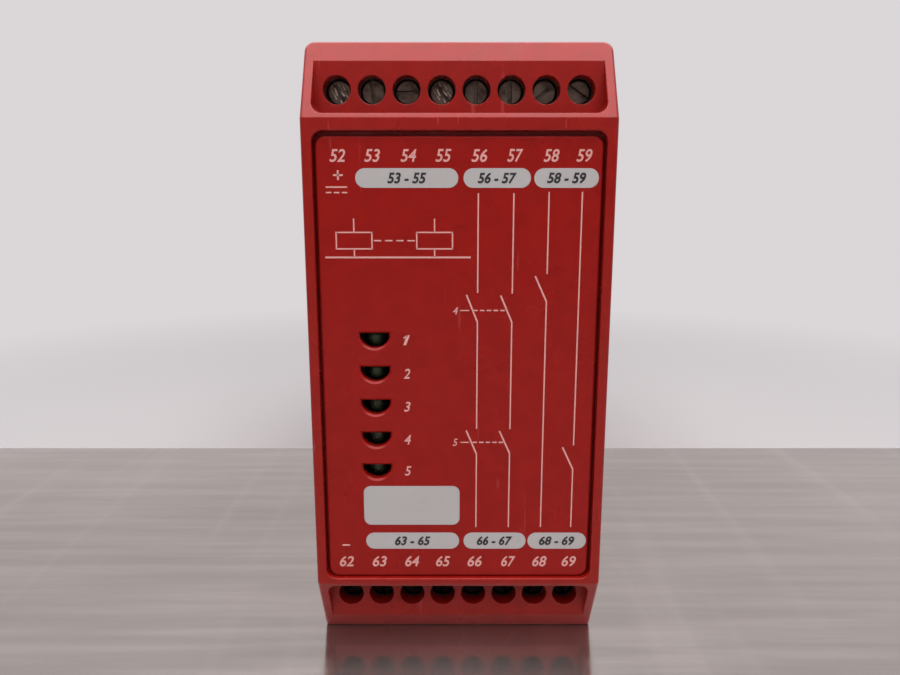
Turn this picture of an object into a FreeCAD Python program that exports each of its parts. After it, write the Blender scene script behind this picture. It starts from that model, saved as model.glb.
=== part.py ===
"""Safety relay in a 45 mm wide moulded housing that snaps onto 35 mm top-hat rail.

The housing is a rear shell closed by a front cover. The cover slopes back at its top and
bottom ends, and each slope has a pocket with eight holes, through which a screwdriver
reaches the terminal screws. A label plate with five indicator windows is snapped into the
cover's front. Behind each pocket stands a terminal strip: each of its poles has a screw
that turns in place against a fixed current bar, and a clamp that rides on the screw's
thread and draws the wire up against that bar. The strips and the indicator lamps stand on
one board. Two more boards run back from it and carry two relays and the supply parts.
A sprung latch slides in the foot of the rear shell and grips the lower edge of the rail.

Frame: X to the right and Z up as seen from the front, Y from the front to the rail. The
origin lies on the face that the housing stands on, below its middle. Millimetres.
"""
import FreeCAD
import Part

import math
import os

from FreeCAD import Vector

X_AXIS = Vector(1, 0, 0)
Y_AXIS = Vector(0, 1, 0)
Z_AXIS = Vector(0, 0, 1)

# ---- Clearances -------------------------------------------------------------------
FIT = 0.1              # between moulded parts that only locate each other
SLIDE = 0.2            # around parts that slide
OVERRUN = 1.0          # by which a cutting tool passes the face that it cuts

# ---- Housing ----------------------------------------------------------------------
HOUSING_WIDTH = 45.0
HOUSING_HEIGHT = 94.0
HOUSING_DEPTH = 119.0
WALL = 1.6
TOP_CORNER_RADIUS = 1.5
FOOT_CORNER_RADIUS = 0.5

# ---- Front cover ------------------------------------------------------------------
COVER_DEPTH = 27.0     # from the front to the joint with the rear shell
SLOPE_HEIGHT = 11.3
SLOPE_DEPTH = 6.1
FRONT_EDGE_RADIUS = 0.6     # along the housing's sides
BREAK_RADIUS = 0.2     # where the slopes meet the front and the end faces
BAR_ABOVE = 1.75       # from the upper slope to the label opening
BAR_BELOW = 0.85       # from the lower slope to the label opening
LEDGE_WIDTH = 1.2      # ledge that carries the label plate
LEDGE_THICKNESS = 1.2
OPENING_SIDE = 1.55    # from the label opening to the housing's side
OPENING_RADIUS = 1.6
RIM_RADIUS = 0.2       # rounding of the rims of the label opening and the pockets

# ---- Screw pockets ----------------------------------------------------------------
POCKET_DEPTH = 4.5     # from the front plane to the pocket's upright floor
POCKET_SIDE = 1.55     # from the pocket to the housing's side
POCKET_LIP = 0.65      # from the pocket to the front plane's edge
POCKET_RADIUS = 1.6    # corners beside the front plane
ACCESS_WEB = 0.98      # between two screwdriver holes
ACCESS_LENGTH = 2.55

# ---- Terminals --------------------------------------------------------------------
POLES = 8              # terminals in each row
ROW_MARGIN = 2.18      # from the first terminal's share of the row to the housing's side
SCREW_ROW = 6.95       # from the screws' axes to the housing's end face
HEAD_MARGIN = 0.2      # around a screw head, as seen through its screwdriver hole
HEAD_LENGTH = 1.8
HEAD_CHAMFER = 0.25
HEAD_SINK = 0.15       # from the strip's front to the screw head
SLOT_WIDTH = 0.6
SLOT_DEPTH = 0.9
THREAD_CLEARANCE = 0.05
THROAT = 1.45          # wall between the screw head and the clamp chamber
CLAMP_TRAVEL = 3.0
CHAMBER_WEB = 0.78     # between the chambers of two clamps
CLAMP_HEIGHT = 5.0
CLAMP_SIDE = 0.55      # side walls of the clamp
CLAMP_COLLAR = 2.4     # threaded front wall
CLAMP_JAW = 1.1        # rear wall, which lifts the wire
CLAMP_RADIUS = 0.45
BAR_THICKNESS = 1.0
BAR_FOOT = 0.8         # thickness of the bar's leg towards the board
PIN_WIDTH = 0.8
PIN_STICK_OUT = 1.4
STRIP_REAR_SPACE = 1.0
STRIP_FLOOR = 2.4      # from the clamp chamber to the strip's inner side
FUNNEL_WEB = 0.48      # between the flared mouths of two wire holes
FUNNEL_FLARE = 0.5
FUNNEL_DEPTH = 0.8
TOP_SLOT_ANGLES = (118, 100, 2, 126, 90, 90, 40, 146)
BOTTOM_SLOT_ANGLES = (35, 90, 150, 75, 5, 120, 60, 95)

# ---- Label plate ------------------------------------------------------------------
PLATE_THICKNESS = 1.5
PLATE_SINK = 0.7       # from the front plane to the plate's face
PLATE_SIDE_GAP = 0.4
PLATE_TOP_GAP = 0.65
PLATE_RADIUS = 1.5
PLATE_EDGE_RADIUS = 0.3
HOOK_WIDTH = 3.0
HOOK_THICKNESS = 1.0
HOOK_BARB = 0.45
HOOK_BARB_LENGTH = 1.2
HOOK_SPACING = 24.0

# ---- Indicators -------------------------------------------------------------------
LAMPS = 5
LAMP_PITCH = 5.2
LAMPS_FROM_SIDE = 9.85      # from the column of lamps to the housing's left side
LAMPS_ABOVE_MIDDLE = 3.64   # first lamp above the housing's mid-height
WINDOW_WIDTH = 4.4
WINDOW_HEIGHT = 2.35
WINDOW_SHOULDER = 0.75      # straight stretch at the window's sides
WINDOW_CHAMFER = 0.3
LAMP_RADIUS = 1.5
LAMP_LENGTH = 4.4
LAMP_FLANGE_RADIUS = 1.9
LAMP_FLANGE = 1.0
LAMP_BEHIND_PLATE = 0.4
LEAD_RADIUS = 0.25
LEAD_SPACING = 2.54
HOLDER_WIDTH = 6.4
HOLDER_MARGIN = 2.7    # from the last lamp's axis to the holder's end
LAMP_STICK_OUT = 2.4   # of a lamp in front of its holder

# ---- Joint between cover and shell ------------------------------------------------
TONGUE_LENGTH = 4.0
TONGUE_THICKNESS = 1.0
TONGUE_ROOT = 3.0
TONGUE_HEIGHT = 64.0
CATCH_HEIGHT = 6.0
CATCH_LENGTH = 2.0
CATCH_RISE = 0.9
CATCH_SETBACK = 1.2
CATCH_SPACING = 50.0

# ---- Rail and latch ---------------------------------------------------------------
RAIL_HEIGHT = 35.0
RAIL_FLANGE = 1.0
RAIL_CLEARANCE = 0.3
RAIL_ABOVE_FOOT = 47.0      # height of the rail's middle
SEAT_DEPTH = 5.0       # depth of the rail recess
HOOK_OVERLAP = 1.8     # of each hook over the rail's flange
RAIL_LIFT = 0.8        # spare height in the upper groove
LEAD_IN = 1.2          # chamfer on the upper hook
REAR_CHAMFER = 3.0
FOOT_CHAMFER = 1.0
LATCH_WIDTH = 16.0
LATCH_RIDGE_WIDTH = 12.0
LATCH_FLANGE = 2.5
LATCH_TRAVEL = 5.0
LATCH_NOSE = 2.6
LATCH_FOOT_GAP = 0.8   # from the latch's end to the standing face
PULL_SLOT_WIDTH = 6.0
PULL_SLOT_HEIGHT = 1.6
PULL_SLOT_UP = 2.2
SPRING_RADIUS = 1.7
SPRING_WIRE = 0.45
SPRING_TURNS = 9
SPRING_LENGTH = 16.0
SPRING_STOP_HEIGHT = 2.0
SPRING_STOP_UP = 8.0   # from the standing face to the stop's top
SPRING_POCKET_WIDTH = 4.2

# ---- Ventilation ------------------------------------------------------------------
VENTS = 7
VENT_WIDTH = 1.8
VENT_LENGTH = 18.0
VENT_PITCH = 4.6
VENT_ROWS = (44.0, 78.0)    # from the front to each row's middle

# ---- Boards and what they carry ---------------------------------------------------
BOARD_THICKNESS = 1.6
BOARD_EDGE_GAP = 1.3   # terminal board to the housing's side walls
BOARD_END_GAP = 1.2    # terminal board to the housing's end walls
BOARD_SEAT = 2.0       # ledges in the cover under the terminal board
BOARD_SEAT_HEIGHT = 54.0
PIN_HOLE_RADIUS = 0.65
LEAD_HOLE_RADIUS = 0.4
SIDE_BOARD_MARGIN = 3.5     # from a side board's outer face to the housing's side
SIDE_BOARD_FRONT = 2.4      # from the terminal board to the side boards
SIDE_BOARD_REAR = 0.4
GUIDE_WIDTH = 1.2
GUIDE_RISE = 2.0
GUIDE_START = 1.5
HEADER_WIDTH = 2.5
HEADER_LENGTH = 8.0
HEADER_HEIGHT = 25.4
RELAY_LENGTH = 40.0
RELAY_WIDTH = 13.0
RELAY_GAP = 1.6        # from the relays to the tallest part that faces them
RELAY_FRONT = 50.0     # from the housing's front to the relays
RELAY_SPACING = 28.0
RELAY_EDGE = 0.6
CAPACITOR_RADIUS = 4.5
CAPACITOR_LENGTH = 9.5
CAPACITOR_GROOVE = 0.3
REGULATOR_SIZE = (4.5, 10.0, 9.0)
REGULATOR_TAB = (1.3, 10.0, 6.5)
REGULATOR_HOLE_RADIUS = 1.8
VARISTOR_RADIUS = 4.0
VARISTOR_THICKNESS = 3.6
VARISTOR_LEG = 1.2
FUSE_RADIUS = 4.2
FUSE_LENGTH = 7.5
CHIP_SIZE = (3.3, 20.0, 6.5)
CHIP_NOTCH = 0.9
SUPPLY_FRONT = 42.0    # from the housing's front to the first supply part
SUPPLY_STEP = 19.0
SUPPLY_ROW = 16.0      # of the supply parts above and below mid-height

# ---- Derived: across and up -------------------------------------------------------
SIDE = HOUSING_WIDTH / 2
INNER_SIDE = SIDE - WALL
MIDDLE = HOUSING_HEIGHT / 2
OPENING_LOW = SLOPE_HEIGHT + BAR_BELOW
OPENING_HIGH = HOUSING_HEIGHT - SLOPE_HEIGHT - BAR_ABOVE
OPENING_MIDDLE = (OPENING_LOW + OPENING_HIGH) / 2
POCKET_RUN_OUT = SLOPE_HEIGHT * (1 - POCKET_DEPTH / SLOPE_DEPTH)   # where the floor meets the slope
OPENING_HALF = SIDE - OPENING_SIDE
POCKET_LOW = SLOPE_HEIGHT - POCKET_LIP
LAMP_OFFSET = LAMPS_FROM_SIDE - SIDE

# ---- Derived: one terminal's share of the row -------------------------------------
PITCH = (HOUSING_WIDTH - 2 * ROW_MARGIN) / POLES
ACCESS_RADIUS = (PITCH - ACCESS_WEB) / 2
HEAD_RADIUS = ACCESS_RADIUS - HEAD_MARGIN
FUNNEL_RADIUS = (PITCH - FUNNEL_WEB) / 2
COVER_ENTRY_RADIUS = FUNNEL_RADIUS - FUNNEL_FLARE
ENTRY_RADIUS = COVER_ENTRY_RADIUS - SLIDE
CHAMBER_WIDTH = PITCH - CHAMBER_WEB
CHAMBER_HEIGHT = CLAMP_HEIGHT + 2 * SLIDE
CLAMP_WIDTH = CHAMBER_WIDTH - SLIDE
SHANK_RADIUS = CLAMP_WIDTH / 2 - CLAMP_SIDE - THREAD_CLEARANCE
BAR_WIDTH = CLAMP_WIDTH - 2 * CLAMP_SIDE - 2 * FIT
STRIP_INNER = SCREW_ROW + CHAMBER_HEIGHT / 2 + STRIP_FLOOR

# ---- Derived: from the front to the rear ------------------------------------------
FRONT = -HOUSING_DEPTH / 2
PLATE_BACK = PLATE_SINK + PLATE_THICKNESS
LEDGE_BACK = PLATE_BACK + LEDGE_THICKNESS
FLOOR_BACK = POCKET_DEPTH + ACCESS_LENGTH
STRIP_FRONT = FLOOR_BACK + FIT
HEAD_FRONT = STRIP_FRONT + HEAD_SINK
HEAD_BACK = HEAD_FRONT + HEAD_LENGTH
CHAMBER_FRONT = HEAD_BACK + FIT + THROAT
CLAMP_FRONT = CHAMBER_FRONT + SLIDE + CLAMP_TRAVEL
BAR_FRONT = CLAMP_FRONT + CLAMP_COLLAR + FIT
BAR_BACK = BAR_FRONT + BAR_THICKNESS
WIRE_SPACE = CLAMP_TRAVEL + SLIDE
JAW_FRONT = BAR_BACK + WIRE_SPACE
CLAMP_BACK = JAW_FRONT + CLAMP_JAW
ENTRY_DEPTH = (BAR_BACK + JAW_FRONT) / 2
STRIP_BACK = CLAMP_BACK + STRIP_REAR_SPACE
BOARD_BACK = STRIP_BACK + BOARD_THICKNESS
SEAT = HOUSING_DEPTH - SEAT_DEPTH
INNER_BACK = SEAT - WALL

# ---- Derived: rail and latch ------------------------------------------------------
RAIL_LOW = RAIL_ABOVE_FOOT - RAIL_HEIGHT / 2
RAIL_HIGH = RAIL_ABOVE_FOOT + RAIL_HEIGHT / 2
RECESS_LOW = RAIL_LOW - RAIL_CLEARANCE
RECESS_HIGH = RAIL_HIGH + RAIL_CLEARANCE + RAIL_LIFT
GROOVE_BACK = SEAT + RAIL_FLANGE + RAIL_CLEARANCE
CHANNEL_FLANGE_BACK = SEAT + LATCH_FLANGE + 2 * SLIDE
CHANNEL_HALF = LATCH_WIDTH / 2 + SLIDE
CHANNEL_NECK_HALF = LATCH_RIDGE_WIDTH / 2 + SLIDE
SPRING_STOP_LOW = SPRING_STOP_UP - SPRING_STOP_HEIGHT
SPRING_POCKET_TOP = SPRING_STOP_UP + SPRING_LENGTH
SPRING_POCKET_BACK = SEAT + SLIDE + SPRING_POCKET_WIDTH


# ---- Shape helpers ----------------------------------------------------------------
def at(depth):
    """Y of a place that lies `depth` behind the front plane."""
    return FRONT + depth


def pole_x(pole):
    """X of a pole's axis, pole 0 at the left."""
    return (pole - (POLES - 1) / 2) * PITCH


def lamp_z(lamp):
    """Height of an indicator lamp's axis, lamp 0 at the top."""
    return MIDDLE + LAMPS_ABOVE_MIDDLE - lamp * LAMP_PITCH


def block(x, depth, z):
    """Box between the two X, the two depths and the two Z that are given as pairs."""
    corner = Vector(x[0], at(depth[0]), z[0])
    return Part.makeBox(x[1] - x[0], depth[1] - depth[0], z[1] - z[0], corner)


def profile_prism(outline, half_width):
    """Prism across X of an outline of (depth, z) points, on both sides of the middle."""
    points = [Vector(-half_width, at(depth), z) for depth, z in outline]
    face = Part.Face(Part.makePolygon(points + points[:1]))
    return face.extrude(Vector(2 * half_width, 0, 0))


def rounded_panel(half_width, z, radii, depth):
    """Panel between two Z and two depths. radii are (lower corners, upper corners)."""
    low, high = radii
    wire = rounded_wire(half_width, z[0], z[1], low, high)
    face = Part.Face(wire)
    face.translate(Vector(0, at(depth[0]), 0))
    return face.extrude(Vector(0, depth[1] - depth[0], 0))


def rounded_wire(half, z_low, z_high, low, high):
    """Closed outline in the XZ plane with round corners, run clockwise from the left."""
    turn = 1 - math.sqrt(0.5)
    p = {
        "left_low": Vector(-half, 0, z_low + low),
        "left_high": Vector(-half, 0, z_high - high),
        "top_left": Vector(-half + high, 0, z_high),
        "top_right": Vector(half - high, 0, z_high),
        "right_high": Vector(half, 0, z_high - high),
        "right_low": Vector(half, 0, z_low + low),
        "foot_right": Vector(half - low, 0, z_low),
        "foot_left": Vector(-half + low, 0, z_low),
    }
    mid_high = high * turn
    mid_low = low * turn
    edges = [
        Part.LineSegment(p["left_low"], p["left_high"]),
        Part.Arc(p["left_high"], Vector(-half + mid_high, 0, z_high - mid_high), p["top_left"]),
        Part.LineSegment(p["top_left"], p["top_right"]),
        Part.Arc(p["top_right"], Vector(half - mid_high, 0, z_high - mid_high), p["right_high"]),
        Part.LineSegment(p["right_high"], p["right_low"]),
        Part.Arc(p["right_low"], Vector(half - mid_low, 0, z_low + mid_low), p["foot_right"]),
        Part.LineSegment(p["foot_right"], p["foot_left"]),
        Part.Arc(p["foot_left"], Vector(-half + mid_low, 0, z_low + mid_low), p["left_low"]),
    ]
    return Part.Wire([edge.toShape() for edge in edges])


def rod_y(radius, x, z, depth):
    """Round rod along Y between two depths."""
    return Part.makeCylinder(radius, depth[1] - depth[0], Vector(x, at(depth[0]), z), Y_AXIS)


def rod_z(radius, x, depth, z):
    """Round rod along Z between two heights."""
    return Part.makeCylinder(radius, z[1] - z[0], Vector(x, at(depth), z[0]), Z_AXIS)


def turned(profile, origin, axis):
    """Solid of revolution of (radius, distance along the axis) points about an axis."""
    points = [Vector(radius, 0, along) for radius, along in profile]
    face = Part.Face(Part.makePolygon(points + points[:1]))
    solid = face.revolve(Vector(0, 0, 0), Z_AXIS, 360)
    turn = FreeCAD.Rotation(Z_AXIS, axis)
    solid.Placement = FreeCAD.Placement(origin, turn)
    return solid


def united(shapes):
    """One shape from several that touch or overlap, without the seams between them."""
    shapes = list(shapes)
    return shapes[0].fuse(shapes[1:]).removeSplitter()


def mirrored_up(shape):
    """The same shape at the housing's other end."""
    return shape.mirror(Vector(0, 0, MIDDLE), Z_AXIS)


def both_ends(shape):
    """A shape and its copy at the housing's other end."""
    return [shape, mirrored_up(shape)]


def both_sides(shape):
    """A shape and its copy on the housing's other side."""
    return [shape, shape.mirror(Vector(0, 0, 0), X_AXIS)]


# ---- Front cover ------------------------------------------------------------------
def cover_outside():
    """Outer form of the cover, with its slopes and rounded edges."""
    outline = [
        (0, SLOPE_HEIGHT),
        (0, HOUSING_HEIGHT - SLOPE_HEIGHT),
        (SLOPE_DEPTH, HOUSING_HEIGHT),
        (COVER_DEPTH, HOUSING_HEIGHT),
        (COVER_DEPTH, 0),
        (SLOPE_DEPTH, 0),
    ]
    corners = rounded_panel(
        SIDE, (0, HOUSING_HEIGHT), (FOOT_CORNER_RADIUS, TOP_CORNER_RADIUS), (0, COVER_DEPTH)
    )
    body = profile_prism(outline, SIDE + OVERRUN).common(corners)
    side_edges = [edge for edge in body.Edges if is_side_edge(edge)]
    body = body.makeFillet(FRONT_EDGE_RADIUS, side_edges)
    breaks = [edge for edge in body.Edges if is_break(edge)]
    return body.makeFillet(BREAK_RADIUS, breaks)


def is_side_edge(edge):
    """Whether an edge runs along a side of the cover's front or slopes."""
    box = edge.BoundBox
    in_front = box.YMax < at(SLOPE_DEPTH + FIT)
    return in_front and box.XLength < TOP_CORNER_RADIUS + FIT and box.ZLength > FOOT_CORNER_RADIUS / 2


def is_break(edge):
    """Whether an edge runs across the cover where its front changes direction."""
    box = edge.BoundBox
    return box.YMax < at(SLOPE_DEPTH + FIT) and box.XLength > SIDE


def cover_cavity():
    """Space inside the cover, shallower behind the pockets than behind the label."""
    inner_end = HOUSING_HEIGHT - WALL
    shelf = POCKET_LOW + WALL
    outline = [
        (COVER_DEPTH + OVERRUN, WALL),
        (FLOOR_BACK, WALL),
        (FLOOR_BACK, shelf),
        (LEDGE_BACK, shelf),
        (LEDGE_BACK, HOUSING_HEIGHT - shelf),
        (FLOOR_BACK, HOUSING_HEIGHT - shelf),
        (FLOOR_BACK, inner_end),
        (COVER_DEPTH + OVERRUN, inner_end),
    ]
    return profile_prism(outline, INNER_SIDE)


def label_opening():
    """Opening for the label plate, with the ledge that the plate rests on."""
    corners = (OPENING_RADIUS, OPENING_RADIUS)
    seat = rounded_panel(OPENING_HALF, (OPENING_LOW, OPENING_HIGH), corners, (-OVERRUN, PLATE_BACK))
    half = OPENING_HALF - LEDGE_WIDTH
    height = (OPENING_LOW + LEDGE_WIDTH, OPENING_HIGH - LEDGE_WIDTH)
    return seat.fuse(block((-half, half), (0, LEDGE_BACK + OVERRUN), height))


def slope_depth(z):
    """Depth of the lower slope's surface at a height."""
    return SLOPE_DEPTH * (1 - z / SLOPE_HEIGHT)


def screw_pocket():
    """Pocket in the lower slope: square side walls, round upper corners, upright floor."""
    height = (-POCKET_RADIUS - OVERRUN, POCKET_LOW)
    corners = (POCKET_RADIUS, POCKET_RADIUS)
    return rounded_panel(SIDE - POCKET_SIDE, height, corners, (-OVERRUN, POCKET_DEPTH))


def access_hole(pole):
    """Screwdriver hole through the lower pocket's floor."""
    return rod_y(ACCESS_RADIUS, pole_x(pole), SCREW_ROW, (POCKET_DEPTH - FIT, FLOOR_BACK + FIT))


def wire_funnel(pole):
    """Wire hole through the cover's lower end wall, flared towards the outside."""
    hole = rod_z(COVER_ENTRY_RADIUS, pole_x(pole), ENTRY_DEPTH, (-OVERRUN, WALL + OVERRUN))
    flare = Part.makeCone(
        FUNNEL_RADIUS, COVER_ENTRY_RADIUS, FUNNEL_DEPTH, Vector(pole_x(pole), at(ENTRY_DEPTH), 0), Z_AXIS
    )
    return hole.fuse(flare)


def catch_heights():
    """Heights of the two catches on each side."""
    return (MIDDLE - CATCH_SPACING / 2, MIDDLE + CATCH_SPACING / 2)


def cover_tongue():
    """Tongue on the right that enters the rear shell, with two catches."""
    low = MIDDLE - TONGUE_HEIGHT / 2
    high = MIDDLE + TONGUE_HEIGHT / 2
    inside = INNER_SIDE - FIT - TONGUE_THICKNESS
    root = block((inside, INNER_SIDE + FIT), (COVER_DEPTH - TONGUE_ROOT, COVER_DEPTH), (low, high))
    tongue = block(
        (inside, INNER_SIDE - FIT), (COVER_DEPTH - TONGUE_ROOT, COVER_DEPTH + TONGUE_LENGTH), (low, high)
    )
    return united([root, tongue] + [catch(z) for z in catch_heights()])


def catch(z):
    """Wedge on the right tongue that snaps into a window of the rear shell."""
    start = COVER_DEPTH + CATCH_SETBACK
    face = INNER_SIDE - FIT
    points = [
        Vector(face - TONGUE_THICKNESS / 2, at(start), 0),
        Vector(face + CATCH_RISE, at(start), 0),
        Vector(face, at(start + CATCH_LENGTH), 0),
        Vector(face - TONGUE_THICKNESS / 2, at(start + CATCH_LENGTH), 0),
    ]
    wedge = Part.Face(Part.makePolygon(points + points[:1])).extrude(Vector(0, 0, CATCH_HEIGHT))
    wedge.translate(Vector(0, 0, z - CATCH_HEIGHT / 2))
    return wedge


def board_seat():
    """Ledge on the right wall that the terminal board rests against."""
    inside = INNER_SIDE - BOARD_SEAT
    low = MIDDLE - BOARD_SEAT_HEIGHT / 2
    high = MIDDLE + BOARD_SEAT_HEIGHT / 2
    return block((inside, INNER_SIDE + FIT), (STRIP_BACK - BOARD_SEAT, STRIP_BACK), (low, high))


def is_rim(edge):
    """Whether an edge is the label opening's rim, or the rim of a pocket in its slope."""
    box = edge.BoundBox
    beside = max(-box.XMin, box.XMax) < SIDE - POCKET_SIDE + FIT / 2
    if not beside:
        return False
    on_front = box.YMax < at(FIT)
    opening = on_front and box.ZMin > OPENING_LOW - FIT and box.ZMax < OPENING_HIGH + FIT
    low = box.Center.z if box.Center.z < MIDDLE else HOUSING_HEIGHT - box.Center.z
    on_slope = abs(box.Center.y - at(slope_depth(low))) < FIT
    pocket = on_slope and low > POCKET_RUN_OUT + FIT and box.ZLength + box.XLength > POCKET_RADIUS / 2
    return opening or pocket


def front_cover():
    """The moulded cover: slopes, pockets, label opening, wire holes and snap tongues."""
    body = cover_outside().cut([label_opening()] + both_ends(screw_pocket()))
    body = body.makeFillet(RIM_RADIUS, [edge for edge in body.Edges if is_rim(edge)])
    body = body.cut(cover_cavity())
    body = body.fuse(both_sides(cover_tongue()) + both_sides(board_seat()))
    cuts = []
    for pole in range(POLES):
        cuts += both_ends(access_hole(pole))
        cuts += both_ends(wire_funnel(pole))
    return body.cut(cuts).removeSplitter()


# ---- Label plate ------------------------------------------------------------------
def lamp_window(lamp):
    """Window for one lamp: straight above and round below."""
    half = WINDOW_WIDTH / 2
    top = lamp_z(lamp) + WINDOW_HEIGHT / 2
    shoulder = top - WINDOW_SHOULDER
    foot = top - WINDOW_HEIGHT
    left_top = Vector(LAMP_OFFSET - half, 0, top)
    right_top = Vector(LAMP_OFFSET + half, 0, top)
    right_low = Vector(LAMP_OFFSET + half, 0, shoulder)
    left_low = Vector(LAMP_OFFSET - half, 0, shoulder)
    edges = [
        Part.LineSegment(left_top, right_top),
        Part.LineSegment(right_top, right_low),
        Part.Arc(right_low, Vector(LAMP_OFFSET, 0, foot), left_low),
        Part.LineSegment(left_low, left_top),
    ]
    face = Part.Face(Part.Wire([edge.toShape() for edge in edges]))
    face.translate(Vector(0, at(0), 0))
    return face.extrude(Vector(0, LEDGE_BACK, 0))


def plate_hook(x):
    """Snap hook at the plate's lower edge, with its barb behind the cover's ledge."""
    edge = OPENING_LOW + LEDGE_WIDTH
    barb_front = LEDGE_BACK + FIT
    barb_back = barb_front + HOOK_BARB_LENGTH
    near = edge + FIT
    outline = [
        (PLATE_BACK - FIT, near),
        (barb_front, near),
        (barb_front, edge - HOOK_BARB),
        (barb_back, near),
        (barb_back, near + HOOK_THICKNESS),
        (PLATE_BACK - FIT, near + HOOK_THICKNESS),
    ]
    hook = profile_prism(outline, HOOK_WIDTH / 2)
    hook.translate(Vector(x, 0, 0))
    return hook


def label_plate():
    """The plate that carries the printing, with five lamp windows and four snap hooks."""
    half = OPENING_HALF - PLATE_SIDE_GAP
    low = OPENING_LOW + FIT
    high = OPENING_HIGH - PLATE_TOP_GAP
    panel = rounded_panel(half, (low, high), (PLATE_RADIUS, PLATE_RADIUS), (PLATE_SINK, PLATE_BACK))
    rim = [edge for edge in panel.Edges if edge.BoundBox.YMax < at(PLATE_SINK) + FIT / 2]
    panel = panel.makeFillet(PLATE_EDGE_RADIUS, rim)
    lower = [plate_hook(x) for x in (-HOOK_SPACING / 2, HOOK_SPACING / 2)]
    middle = Vector(0, 0, OPENING_MIDDLE)
    hooks = lower + [hook.mirror(middle, Z_AXIS) for hook in lower]
    plate = united([panel] + hooks).cut([lamp_window(lamp) for lamp in range(LAMPS)])
    return plate.makeChamfer(WINDOW_CHAMFER, [edge for edge in plate.Edges if is_window_mouth(edge)])


def is_window_mouth(edge):
    """Whether an edge of the plate is the front edge of a lamp window."""
    box = edge.BoundBox
    on_face = box.YMax < at(PLATE_SINK + FIT / 2)
    reach = WINDOW_WIDTH / 2 + FIT
    return on_face and box.XMin > LAMP_OFFSET - reach and box.XMax < LAMP_OFFSET + reach


# ---- Terminals --------------------------------------------------------------------
def strip_cell(pole):
    """Hollow of one pole in the lower strip: head bore, throat, chamber, entry, bar slot."""
    x = pole_x(pole)
    head_bore = rod_y(HEAD_RADIUS + FIT, x, SCREW_ROW, (STRIP_FRONT - FIT, HEAD_BACK + FIT))
    throat = rod_y(SHANK_RADIUS + SLIDE, x, SCREW_ROW, (HEAD_BACK, CHAMBER_FRONT + FIT))
    chamber = block(
        (x - CHAMBER_WIDTH / 2, x + CHAMBER_WIDTH / 2),
        (CHAMBER_FRONT, STRIP_BACK + OVERRUN),
        (SCREW_ROW - CHAMBER_HEIGHT / 2, SCREW_ROW + CHAMBER_HEIGHT / 2),
    )
    entry = rod_z(ENTRY_RADIUS, x, ENTRY_DEPTH, (0, SCREW_ROW))
    bar_slot = block(
        (x - BAR_WIDTH / 2 - FIT, x + BAR_WIDTH / 2 + FIT),
        (BAR_FRONT - FIT, STRIP_BACK + OVERRUN),
        (SCREW_ROW, bar_foot_high() + FIT),
    )
    return united([head_bore, throat, chamber, entry, bar_slot])


def bar_foot_high():
    """Height of the upper side of a lower current bar's leg."""
    return SCREW_ROW + CHAMBER_HEIGHT / 2 + STRIP_FLOOR / 2 + BAR_FOOT / 2


def terminal_strip():
    """Moulded body of the lower row of terminals."""
    half = INNER_SIDE - FIT
    body = block((-half, half), (STRIP_FRONT, STRIP_BACK), (WALL + FIT, STRIP_INNER))
    return body.cut([strip_cell(pole) for pole in range(POLES)])


def current_bar(pole):
    """Fixed bar of one lower pole: a leg through the clamp, a foot and a solder pin."""
    x = pole_x(pole)
    half = BAR_WIDTH / 2
    low = SCREW_ROW - CLAMP_HEIGHT / 2
    high = bar_foot_high()
    outline = [
        (BAR_FRONT, low),
        (BAR_BACK, low),
        (BAR_BACK, high - BAR_FOOT),
        (STRIP_BACK - FIT, high - BAR_FOOT),
        (STRIP_BACK - FIT, high),
        (BAR_FRONT, high),
    ]
    bent = profile_prism(outline, half)
    bent.translate(Vector(x, 0, 0))
    pin = block(
        (x - PIN_WIDTH / 2, x + PIN_WIDTH / 2),
        (STRIP_BACK - 2 * FIT, BOARD_BACK + PIN_STICK_OUT),
        (high - BAR_FOOT, high),
    )
    return united([bent, pin])


def current_bars():
    """The lower row's eight bars, as separate solids."""
    return Part.makeCompound([current_bar(pole) for pole in range(POLES)])


def terminal_clamp(x, z):
    """Clamp of one pole in its open place: a folded frame with a threaded collar."""
    half = CLAMP_WIDTH / 2
    low = z - CLAMP_HEIGHT / 2
    high = z + CLAMP_HEIGHT / 2
    frame = block((x - half, x + half), (CLAMP_FRONT, CLAMP_BACK), (low, high))
    corners = [edge for edge in frame.Edges if edge.BoundBox.ZLength > CLAMP_HEIGHT - FIT]
    frame = frame.makeFillet(CLAMP_RADIUS, corners)
    window = block(
        (x - half + CLAMP_SIDE, x + half - CLAMP_SIDE),
        (CLAMP_FRONT + CLAMP_COLLAR, JAW_FRONT),
        (low - OVERRUN, high + OVERRUN),
    )
    thread = rod_y(
        SHANK_RADIUS + THREAD_CLEARANCE, x, z, (CLAMP_FRONT - FIT, CLAMP_FRONT + CLAMP_COLLAR + FIT)
    )
    return frame.cut([window, thread])


def terminal_screw(x, z, slot_angle):
    """Slotted screw of one pole. Its tip bears on the current bar, so it turns in place."""
    tip = BAR_FRONT - FIT
    profile = [
        (0, HEAD_FRONT),
        (HEAD_RADIUS - HEAD_CHAMFER, HEAD_FRONT),
        (HEAD_RADIUS, HEAD_FRONT + HEAD_CHAMFER),
        (HEAD_RADIUS, HEAD_BACK),
        (SHANK_RADIUS, HEAD_BACK),
        (SHANK_RADIUS, tip - HEAD_CHAMFER),
        (SHANK_RADIUS - HEAD_CHAMFER, tip),
        (0, tip),
    ]
    solid = turned(profile, Vector(x, at(0), z), Y_AXIS)
    slot = block(
        (-HEAD_RADIUS - OVERRUN, HEAD_RADIUS + OVERRUN),
        (HEAD_FRONT - OVERRUN, HEAD_FRONT + SLOT_DEPTH),
        (-SLOT_WIDTH / 2, SLOT_WIDTH / 2),
    )
    slot.rotate(Vector(0, 0, 0), Y_AXIS, -slot_angle)
    slot.translate(Vector(x, 0, z))
    return solid.cut(slot)


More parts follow.
